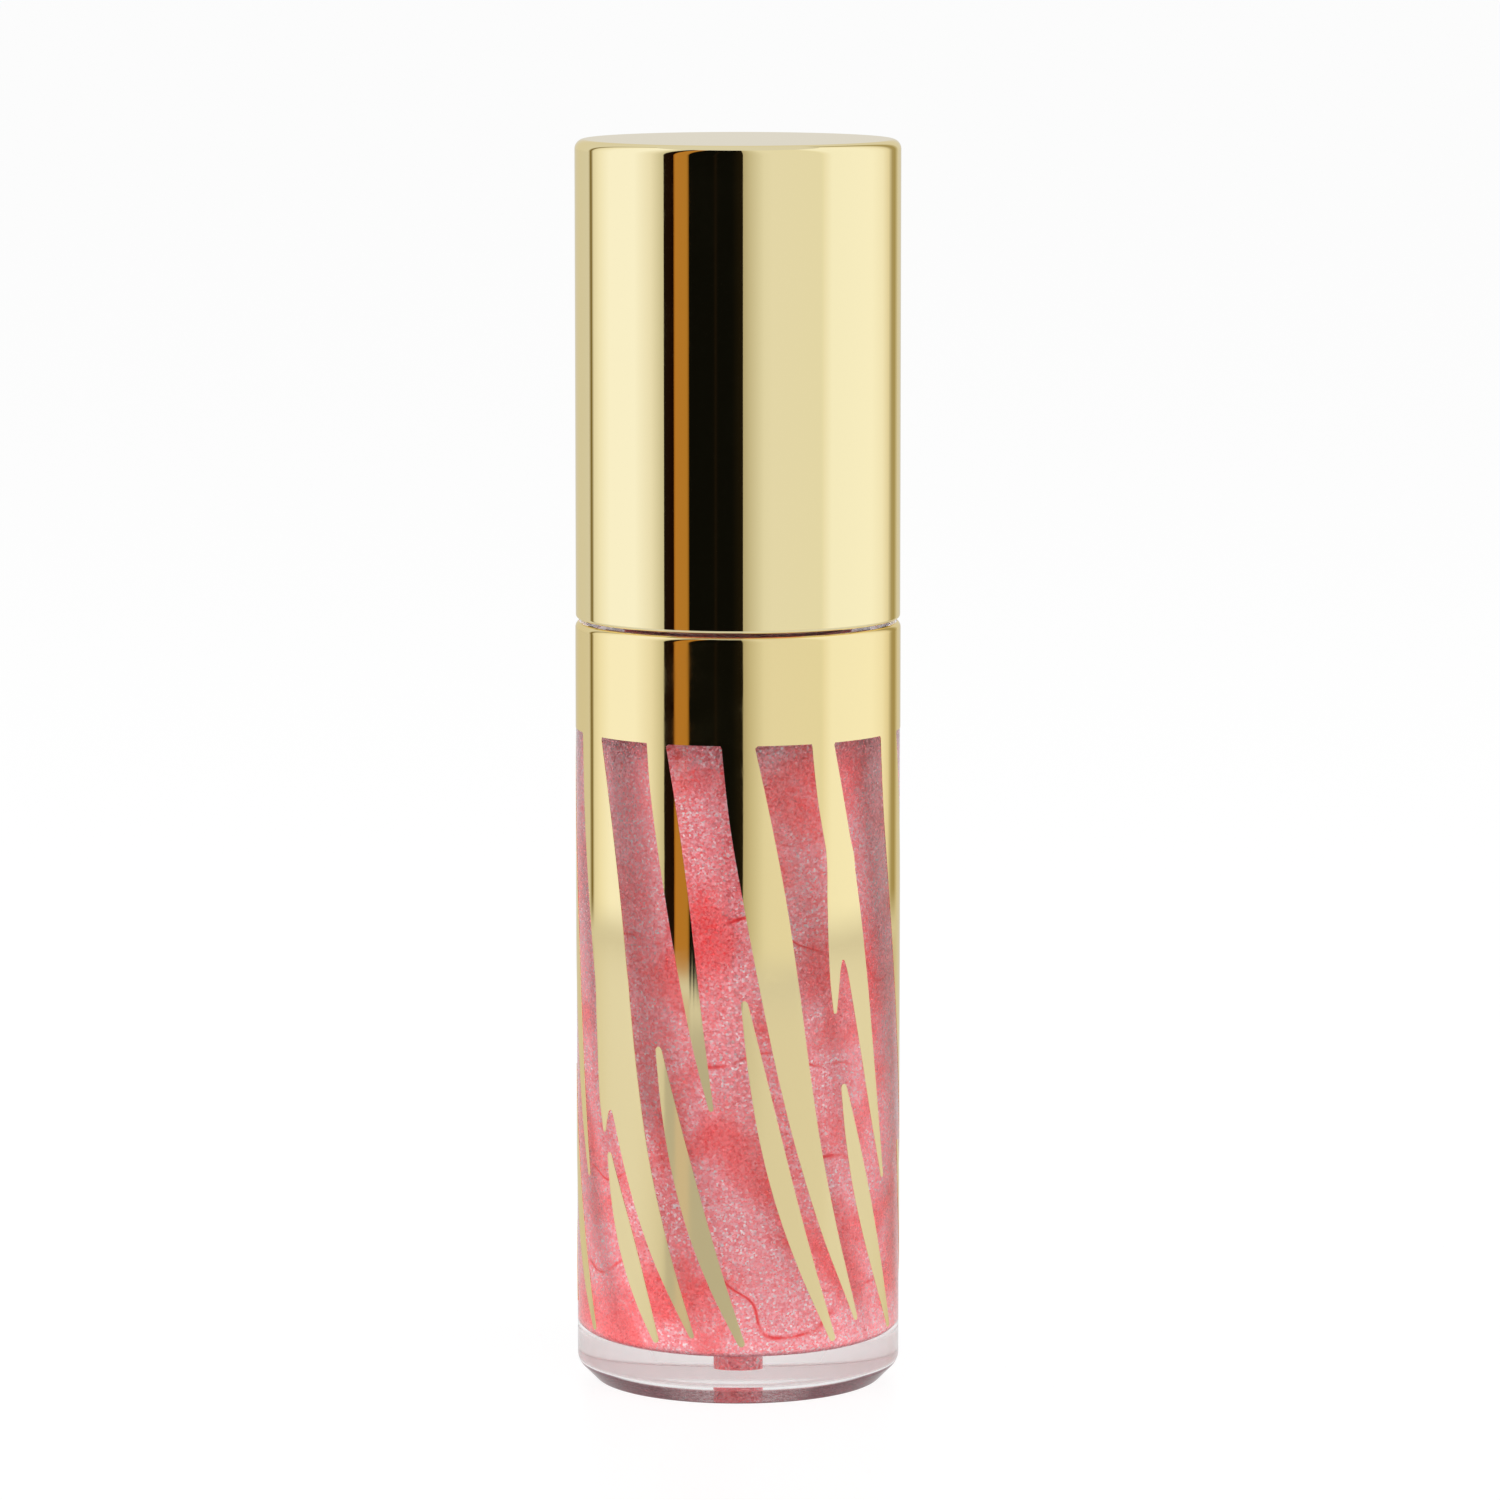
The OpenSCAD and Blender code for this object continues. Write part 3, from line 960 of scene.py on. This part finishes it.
# --- Wand stem ------------------------------------------------------------------------------------
# Natural acetal, plugged into the liner. A bead under the washer keeps it on the stem. The part that
# stands in the gloss keeps a thin pink film.
stem_r = 1.9
foot_top = 20.0
stem_z = foot_top + 0.6
bead_z = washer_z - thread_pitch * neck_thread_turns - 0.1
peg_hole_r = 1.1
peg_hole_z = stem_z + 6.0

stem_outline = (
    [(0, peg_hole_z), (peg_hole_r, peg_hole_z)]
    + corner(peg_hole_r + 0.1, stem_z + 0.1, 0.1, 180, 270, 3)
    + corner(stem_r - 0.25, stem_z + 0.25, 0.25, -90, 0, 6)
    + [(stem_r, bead_z - 0.8), (2.3, bead_z - 0.25)]
    + corner(2.28, bead_z - 0.12, 0.12, 0, 90, 4)
    + [(stem_r, bead_z + 0.005), (stem_r, liner_ceiling), (plug_r, liner_ceiling)]
    + [(plug_r, liner_ceiling + plug_h), (0, liner_ceiling + plug_h)]
)


FILM_TOP = 41.0
FILM_PINK = (0.80, 0.20, 0.23, 1)


def wet_plastic(name, dry, film_top, film_colour):
    """A satin moulding whose lower part, below film_top, wears a film of gloss."""
    made = new_material(name)
    tree = made.node_tree
    skin = place(tree, moulding, Tone=0.86, Mottle=0.08, Base=0.22)
    shade = add(tree, "ShaderNodeVectorMath", {0: dry, "Scale": skin["Tone"]}, operation="SCALE")
    coords = add(tree, "ShaderNodeTexCoord").outputs["Object"]
    height = add(tree, "ShaderNodeSeparateXYZ", {0: coords}).outputs["Z"]
    ripple = add(
        tree, "ShaderNodeTexNoise", {"Vector": coords, "Scale": 520.0, "Detail": 3.0}
    ).outputs["Fac"]
    edge = add(tree, "ShaderNodeMath", {0: ripple, 1: 0.006, 2: height}, operation="MULTIPLY_ADD")
    film = add(
        tree,
        "ShaderNodeMapRange",
        {
            "Value": edge.outputs[0],
            "From Min": film_top * MM,
            "From Max": (film_top + 3) * MM,
            "To Min": 1.0,
            "To Max": 0.0,
        },
    )
    streaky = add(
        tree,
        "ShaderNodeMapRange",
        {"Value": ripple, "From Min": 0.3, "From Max": 0.7, "To Min": 0.35, "To Max": 0.95},
    )
    cover = add(tree, "ShaderNodeMath", {0: film.outputs[0], 1: streaky.outputs[0]}, operation="MULTIPLY")
    colour = add(
        tree,
        "ShaderNodeMix",
        {0: cover.outputs[0], 6: shade.outputs[0], 7: film_colour},
        data_type="RGBA",
    )
    rough = add(tree, "ShaderNodeMapRange", {"Value": cover.outputs[0], "To Min": 0.34, "To Max": 0.1})
    lumps = add(
        tree, "ShaderNodeBump", {"Strength": 0.35, "Distance": 0.0001, "Height": cover.outputs[0]}
    )
    plastic = add(
        tree,
        "ShaderNodeBsdfPrincipled",
        {
            "Base Color": colour.outputs[2],
            "Roughness": rough.outputs[0],
            "Normal": lumps.outputs[0],
            "Coat Weight": cover.outputs[0],
            "Coat Roughness": 0.05,
        },
    )
    return finish_with(made, plastic.outputs[0])


stem = lathe("wand_stem_rod", stem_outline, around=96)
stem.data.materials.append(wet_plastic("stem_acetal", (1.0, 0.99, 0.965), FILM_TOP, FILM_PINK))
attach(stem, "cap")
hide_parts("wand_stem")


# --- Applicator core ------------------------------------------------------------------------------
# A soft moulded nylon foot with a slanted face, on a peg that is pressed into the stem.
core_r = 1.65
flock_t = 0.3
tip_z = 5.0
foot_slant = math.tan(math.radians(15))
foot_cut = 0.5
ROUNDING = 0.22


def foot_rings(radius, low, top, around, levels):
    """Rings of a slanted foot: circles of one radius, cut by a leaning plane with a rounded edge."""
    turns = np.arange(around) * 2 * math.pi / around
    shift = radius - core_r - foot_cut
    rings = []
    for level in np.linspace(0, 1, levels):
        z = low + (top - low) * (1 - math.cos(level * math.pi / 2))
        r = radius if z > low + radius else math.sqrt(max(radius**2 - (low + radius - z) ** 2, 1e-4))
        face = shift + (z - tip_z) * foot_slant
        middle = min(0.0, max(-r * 0.9, (face - r) / 2))
        half_chord = np.sqrt(np.maximum(r**2 - (middle * np.sin(turns)) ** 2, 1e-6))
        to_round = -middle * np.cos(turns) + half_chord
        toward = np.maximum(np.cos(turns), 1e-3)
        to_face = np.where(np.cos(turns) > 1e-3, max(face - middle, 0.03) / toward, 1e3)
        blend = np.clip(0.5 + 0.5 * (to_face - to_round) / ROUNDING, 0, 1)
        reach = to_face * (1 - blend) + to_round * blend - ROUNDING * blend * (1 - blend) / 2
        reach = np.maximum(np.minimum(reach, np.minimum(to_round, to_face)), 0.02)
        rings.append([(middle + s * math.cos(t), s * math.sin(t), z) for s, t in zip(reach, turns)])
    return rings


def ring_solid(name, rings):
    """A closed solid through rings of points, from the lowest up."""
    around = len(rings[0])
    points = [p for ring in rings for p in ring]
    faces = [tuple(range(around))[::-1]]
    for n in range(len(rings) - 1):
        for i in range(around):
            k = (i + 1) % around
            faces.append((n * around + i, n * around + k, (n + 1) * around + k, (n + 1) * around + i))
    faces.append(tuple(range((len(rings) - 1) * around, len(rings) * around)))
    return make_piece(name, points, faces)


def circle_ring(r, z, around):
    """A ring of points round the axis."""
    turns = [2 * math.pi * i / around for i in range(around)]
    return [(r * math.cos(a), r * math.sin(a), z) for a in turns]


CORE_AROUND = 48
waist_r = 1.3
peg_r = 1.05
core_rings = foot_rings(core_r, tip_z + flock_t, foot_top, CORE_AROUND, 28)
for ring_r, ring_z in (
    (1.5, foot_top + 0.05),
    (waist_r, foot_top + 0.2),
    (waist_r, stem_z - 0.02),
    (peg_r, stem_z),
    (peg_r, stem_z + 5.4),
    (0.9, stem_z + 5.5),
):
    core_rings.append(circle_ring(ring_r, ring_z, CORE_AROUND))
core = ring_solid("applicator_core_foot", core_rings)
core.data.materials.append(wet_plastic("core_nylon", (1.0, 0.95, 0.93), FILM_TOP, FILM_PINK))
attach(core, "cap")
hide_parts("applicator_core")


# --- Flock ----------------------------------------------------------------------------------------
# Short nylon fibres shot into glue on the foot. They are soaked with gloss and clump a little.
FIBRES = 7000
FIBRE_W = 0.02
FIBRE_REACH = (0.1, 0.2)
FIBRE_ROOT = 0.03
FIBRE_TILT = 0.35
FLOCK_AROUND = 72
flock_r = core_r + flock_t * 0.55
flock_limit_r = core_r + flock_t + 0.03

skin_rings = foot_rings(flock_r, tip_z + flock_t * 0.45, foot_top, FLOCK_AROUND, 48)
inner_rings = foot_rings(core_r + 0.01, tip_z + flock_t - 0.01, foot_top, FLOCK_AROUND, 48)
skin_points = np.array(skin_rings)

flock_points = [p for ring in skin_rings for p in ring]
flock_faces = [tuple(range(FLOCK_AROUND))[::-1]]
for n in range(len(skin_rings) - 1):
    for i in range(FLOCK_AROUND):
        k = (i + 1) % FLOCK_AROUND
        row, above = n * FLOCK_AROUND, (n + 1) * FLOCK_AROUND
        flock_faces.append((row + i, row + k, above + k, above + i))
rim_start = len(flock_points)
flock_points += inner_rings[-1]
last_row = (len(skin_rings) - 1) * FLOCK_AROUND
for i in range(FLOCK_AROUND):
    k = (i + 1) % FLOCK_AROUND
    flock_faces.append((last_row + i, last_row + k, rim_start + k, rim_start + i))
flock_faces.append(tuple(range(rim_start, rim_start + FLOCK_AROUND)))

draw = np.random.default_rng(11)
for _ in range(FIBRES):
    level = draw.uniform(0.5, len(skin_rings) - 1.6)
    i = int(draw.integers(FLOCK_AROUND))
    n = int(level)
    t = level - n
    here = skin_points[n, i] * (1 - t) + skin_points[n + 1, i] * t
    side = skin_points[n, (i + 1) % FLOCK_AROUND] - skin_points[n, i]
    rise = skin_points[n + 1, i] - skin_points[n, i]
    out = np.cross(side, rise)
    if np.linalg.norm(out) < 1e-9:
        continue
    out /= np.linalg.norm(out)
    here = here + side * draw.uniform(0, 1)
    lean = out + draw.normal(0, FIBRE_TILT, 3)
    lean /= np.linalg.norm(lean)
    tip = here + lean * draw.uniform(*FIBRE_REACH)
    reach = np.hypot(tip[0], tip[1])
    if reach > flock_limit_r:
        tip[:2] *= flock_limit_r / reach
    a = np.cross(lean, (0.3, 0.2, 0.93))
    a /= max(np.linalg.norm(a), 1e-9)
    b = np.cross(lean, a)
    base = len(flock_points)
    root = here - out * FIBRE_ROOT
    for q in range(3):
        angle = 2 * math.pi * q / 3
        flock_points.append(tuple(root + FIBRE_W * (a * math.cos(angle) + b * math.sin(angle))))
    flock_points.append(tuple(tip))
    for q in range(3):
        flock_faces.append((base + q, base + (q + 1) % 3, base + 3))
    flock_faces.append((base + 2, base + 1, base))

wet_flock = new_material("wet_flock")
tree = wet_flock.node_tree
pearl_now = place(tree, shimmer, **{"Flake Size": 0.12, "Tilt": 0.4, "Flow": 0.0})
coords = add(tree, "ShaderNodeTexCoord").outputs["Object"]
clumps = add(tree, "ShaderNodeTexNoise", {"Vector": coords, "Scale": 900.0, "Detail": 3.0}).outputs["Fac"]
soaked = add(
    tree,
    "ShaderNodeMapRange",
    {"Value": clumps, "From Min": 0.35, "From Max": 0.65, "To Min": 0.45, "To Max": 1.0},
)
fibre_colour = add(
    tree,
    "ShaderNodeMix",
    {0: soaked.outputs[0], 6: (0.86, 0.62, 0.62, 1), 7: pearl_now["Colour"]},
    data_type="RGBA",
)
fibre_rough = add(
    tree,
    "ShaderNodeMapRange",
    {"Value": clumps, "From Min": 0.35, "From Max": 0.65, "To Min": 0.55, "To Max": 0.2},
)
fibre = add(
    tree,
    "ShaderNodeBsdfPrincipled",
    {
        "Base Color": fibre_colour.outputs[2],
        "Roughness": fibre_rough.outputs[0],
        "Coat Weight": 0.4,
        "Coat Roughness": 0.15,
    },
)
finish_with(wet_flock, fibre.outputs[0])

flock = make_piece("applicator_flock_fibres", flock_points, flock_faces)
flock.data.materials.append(wet_flock)
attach(flock, "cap")
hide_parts("applicator_flock")


# --- Studio ---------------------------------------------------------------------------------------
# A pale acrylic table, a white room, soft lamps at both sides, and the cards that the gold mirrors:
# bright panels left and right, and the dark studio with one warm strip in front.
FLOOR_HALF = 6.0
FLOOR_DROP = 0.00005


def stage_plane(name, half, z):
    """A level square of the stage that reaches half metres each way from the axis."""
    mesh = bpy.data.meshes.new(name)
    corners = [(-half, -half, z), (half, -half, z), (half, half, z), (-half, half, z)]
    mesh.from_pydata(corners, [], [(0, 1, 2, 3)])
    plane = bpy.data.objects.new(name, mesh)
    bpy.context.scene.collection.objects.link(plane)
    return plane


table = stage_plane("table_top", FLOOR_HALF, -FLOOR_DROP)

# The table glows evenly, less so in the gold, where it also mirrors the cards at a grazing angle.
TABLE_GLOW = 0.95
TABLE_GLOW_LOST = -0.33
TABLE_MATTE = (0.09, 0.09, 0.09, 1)
TABLE_POLISH = 0.07
POLISH_IN_MIRRORS = 0.65
pale_acrylic = new_material("pale_acrylic")
tree = pale_acrylic.node_tree
path = add(tree, "ShaderNodeLightPath").outputs
unbent = add(tree, "ShaderNodeMath", {0: 1.0, 1: path["Is Transmission Ray"]}, operation="SUBTRACT")
mirrored = add(
    tree, "ShaderNodeMath", {0: path["Is Glossy Ray"], 1: unbent.outputs[0]}, operation="MULTIPLY"
)
glow_level = add(
    tree,
    "ShaderNodeMath",
    {0: mirrored.outputs[0], 1: TABLE_GLOW_LOST, 2: TABLE_GLOW},
    operation="MULTIPLY_ADD",
)
glow = add(tree, "ShaderNodeEmission", {"Strength": glow_level.outputs[0]})
matte = add(tree, "ShaderNodeBsdfDiffuse", {"Color": TABLE_MATTE})
sum_of = add(tree, "ShaderNodeAddShader", {0: glow.outputs[0], 1: matte.outputs[0]})
polish = add(tree, "ShaderNodeBsdfGlossy", {"Color": (1, 1, 1, 1), "Roughness": 0.3})
grazing = add(tree, "ShaderNodeFresnel", {"IOR": 1.49})
veiled = add(tree, "ShaderNodeMath", {0: mirrored.outputs[0], 1: POLISH_IN_MIRRORS}, operation="MULTIPLY")
polish_share = add(
    tree,
    "ShaderNodeMath",
    {0: veiled.outputs[0], 1: grazing.outputs[0], 2: TABLE_POLISH},
    operation="MULTIPLY_ADD",
)
table_skin = add(
    tree,
    "ShaderNodeMixShader",
    {0: polish_share.outputs[0], 1: sum_of.outputs[0], 2: polish.outputs[0]},
)
finish_with(pale_acrylic, table_skin.outputs[0])
table.data.materials.append(pale_acrylic)

TABLE_SHEEN = (0.71, 0.71, 0.71)


def card(name, left, right, distance, stops, fade=0.004, ragged=0.0):
    """An upright curved card between two bearings, in degrees right of the front, seen only in mirrors.

    stops are its colours across, and its foot fades into the table's sheen over a height of fade,
    along a line as ragged as asked."""
    steps = max(2, int((right - left) / 2) + 1)
    bearings = np.radians(np.linspace(left, right, steps))
    points = []
    for bearing in bearings:
        for z in (0.0, CARD_H):
            points.append((distance * math.sin(bearing), -distance * math.cos(bearing), z))
    faces = [(2 * i, 2 * i + 2, 2 * i + 3, 2 * i + 1) for i in range(steps - 1)]
    mesh = bpy.data.meshes.new(name)
    mesh.from_pydata(points, [], faces)
    across = mesh.uv_layers.new(name="across")
    for loop, uv in zip(mesh.loops, across.data):
        uv.uv = (loop.vertex_index // 2 / (steps - 1), loop.vertex_index % 2)
    panel = bpy.data.objects.new(name, mesh)
    bpy.context.scene.collection.objects.link(panel)
    made = new_material(name)
    tree = made.node_tree
    uv = add(tree, "ShaderNodeUVMap", uv_map="across").outputs["UV"]
    paint = ramp(tree, add(tree, "ShaderNodeSeparateXYZ", {0: uv}).outputs["X"], stops)
    coords = add(tree, "ShaderNodeTexCoord").outputs["Object"]
    height = add(tree, "ShaderNodeSeparateXYZ", {0: coords}).outputs["Z"]
    stretched = add(tree, "ShaderNodeVectorMath", {0: uv, 1: (30.0, 1.0, 0.0)}, operation="MULTIPLY")
    frayed = add(
        tree, "ShaderNodeTexNoise", {"Vector": stretched.outputs[0], "Scale": 1.0, "Detail": 4.0}
    ).outputs["Fac"]
    edge = add(tree, "ShaderNodeMath", {0: frayed, 1: -ragged, 2: height}, operation="MULTIPLY_ADD")
    low = -ragged / 2
    share = add(
        tree,
        "ShaderNodeMapRange",
        {"Value": edge.outputs[0], "From Min": low, "From Max": low + fade},
        interpolation_type="SMOOTHSTEP",
    )
    mixed = add(
        tree, "ShaderNodeMix", {0: share.outputs[0], 6: (*TABLE_SHEEN, 1), 7: paint}, data_type="RGBA"
    )
    shine = add(tree, "ShaderNodeEmission", {"Color": mixed.outputs[2]})
    finish_with(made, shine.outputs[0])
    panel.data.materials.append(made)
    for ray in ("camera", "diffuse", "transmission", "volume_scatter", "shadow"):
        setattr(panel, f"visible_{ray}", False)
    return panel


CARD_H = 0.4
SIDE = 0.19
FRONT = 0.17
NEAR_FRONT = 0.16
DARK = (0.004, 0.004, 0.003)
card("panel_left", -121, -52, SIDE, [
    (0.0, (0.80, 0.78, 0.72)),
    (0.12, (0.93, 0.93, 0.90)),
    (0.3, (1.02, 1.05, 1.12)),
    (0.65, (1.02, 1.05, 1.12)),
    (0.85, (0.88, 0.87, 0.84)),
    (1.0, (0.60, 0.58, 0.48)),
])
card("gap_left", -128, -121, SIDE, [
    (0.0, (0.66, 0.64, 0.60)),
    (0.45, (0.2, 0.15, 0.04)),
    (0.6, (0.2, 0.15, 0.04)),
    (1.0, (0.7, 0.68, 0.62)),
])
card("dark_left", -52, -44.5, FRONT, [(0.0, (0.012, 0.006, 0.004)), (1.0, (0.010, 0.003, 0.001))], 0.003)
card("warm_strip", -44.5, -33.5, FRONT, [
    (0.0, (0.30, 0.11, 0.015)),
    (0.12, (0.50, 0.22, 0.04)),
    (0.85, (0.47, 0.22, 0.04)),
    (1.0, (0.20, 0.09, 0.015)),
], 0.003)
card("dark_front", -33.5, 3.5, NEAR_FRONT, [
    (0.0, DARK),
    (0.46, DARK),
    (0.5, (0.012, 0.008, 0.005)),
    (0.54, DARK),
    (0.8, DARK),
    (1.0, (0.014, 0.010, 0.005)),
], 0.004, 0.010)
card("panel_front_right", 3.5, 61, FRONT, [
    (0.0, (0.48, 0.43, 0.32)),
    (0.08, (0.60, 0.57, 0.46)),
    (0.25, (0.80, 0.79, 0.72)),
    (0.35, (0.83, 0.82, 0.76)),
    (0.96, (0.83, 0.82, 0.74)),
    (1.0, (0.86, 0.86, 0.76)),
])
card("panel_right", 61, 132, SIDE, [
    (0.0, (0.88, 0.86, 0.78)),
    (0.1, (0.98, 1.0, 1.0)),
    (0.65, (1.01, 1.03, 1.04)),
    (0.85, (0.95, 0.95, 0.93)),
    (1.0, (0.80, 0.76, 0.66)),
])
card("gap_right", 132, 152, SIDE, [
    (0.0, (0.72, 0.70, 0.62)),
    (0.3, (0.42, 0.36, 0.22)),
    (0.6, (0.40, 0.34, 0.18)),
    (1.0, (0.70, 0.68, 0.62)),
])


def lamp(name, bearing, distance, height, width, tall, power):
    """A soft rectangular lamp at a bearing, aimed at the tube's middle and left out of mirrors."""
    light = bpy.data.lights.new(name, "AREA")
    light.shape = "RECTANGLE"
    light.size = width
    light.size_y = tall
    light.energy = power
    holder = bpy.data.objects.new(name, light)
    bpy.context.scene.collection.objects.link(holder)
    b = math.radians(bearing)
    holder.location = (distance * math.sin(b), -distance * math.cos(b), height)
    aim = mathutils.Vector((0, 0, total_h * MM / 2)) - holder.location
    holder.rotation_euler = aim.to_track_quat("-Z", "Y").to_euler()
    for ray in ("camera", "glossy", "transmission"):
        setattr(holder, f"visible_{ray}", False)
    return holder


lamp("lamp_left", -72, 0.5, 0.20, 0.25, 0.45, 1.6)
lamp("lamp_right", 62, 0.5, 0.22, 0.25, 0.45, 1.4)
lamp("lamp_top", 10, 0.25, 0.55, 0.35, 0.35, 1.2)

# The room's brightness, and what each kind of ray adds to it: the room is plain white to the eye,
# dimmer on dull surfaces and in mirrors, and brighter for light that comes into the bottle to the gel.
ROOM_LEVEL = 0.85
ROOM_SEEN = 0.2
ROOM_ON_DULL = -0.4
ROOM_INTO_BOTTLE = 0.7
ROOM_MIRRORED = -0.10
world = bpy.data.worlds.new("white_room")
bpy.context.scene.world = world
world.use_nodes = True
tree = world.node_tree
tree.nodes.clear()
path = add(tree, "ShaderNodeLightPath").outputs
bent = path["Is Transmission Ray"]
mirrored = add(
    tree, "ShaderNodeMath", {0: path["Is Glossy Ray"], 1: bent}, operation="SUBTRACT"
).outputs[0]
level = add(
    tree,
    "ShaderNodeMath",
    {0: path["Is Camera Ray"], 1: ROOM_SEEN, 2: ROOM_LEVEL},
    operation="MULTIPLY_ADD",
)
level = add(
    tree,
    "ShaderNodeMath",
    {0: path["Is Diffuse Ray"], 1: ROOM_ON_DULL, 2: level.outputs[0]},
    operation="MULTIPLY_ADD",
)
scattered = add(
    tree, "ShaderNodeMath", {0: path["Diffuse Depth"], 1: 1.0}, operation="MINIMUM"
).outputs[0]
in_bottle = add(tree, "ShaderNodeMath", {0: bent, 1: scattered}, operation="MULTIPLY").outputs[0]
level = add(
    tree,
    "ShaderNodeMath",
    {0: in_bottle, 1: ROOM_INTO_BOTTLE, 2: level.outputs[0]},
    operation="MULTIPLY_ADD",
)
level = add(
    tree,
    "ShaderNodeMath",
    {0: mirrored, 1: ROOM_MIRRORED, 2: level.outputs[0]},
    operation="MULTIPLY_ADD",
)
room = add(tree, "ShaderNodeBackground", {"Color": (1, 1, 1, 1), "Strength": level.outputs[0]})
room_out = add(tree, "ShaderNodeOutputWorld")
tree.links.new(room.outputs[0], room_out.inputs["Surface"])

scene = bpy.context.scene
scene.view_settings.view_transform = "Standard"
scene.cycles.max_bounces = 24
scene.cycles.transmission_bounces = 20
scene.cycles.transparent_max_bounces = 24
scene.cycles.glossy_bounces = 8
scene.cycles.caustics_reflective = False
scene.cycles.caustics_refractive = True
scene.cycles.use_denoising = True

CAMERA_DISTANCE = 0.455
CAMERA_HEIGHT = 0.0974
CAMERA_ASIDE = 0.00074
CAMERA_TILT = 0.127
CAMERA_LENS = 178.1
view = bpy.data.cameras.new("camera")
view.sensor_width = 36
view.lens = CAMERA_LENS
view.clip_start = 0.01
view.clip_end = 20
camera = bpy.data.objects.new("camera", view)
scene.collection.objects.link(camera)
camera.location = (CAMERA_ASIDE, -CAMERA_DISTANCE, CAMERA_HEIGHT)
camera.rotation_euler = (math.pi / 2 - CAMERA_TILT, 0, 0)
scene.camera = camera
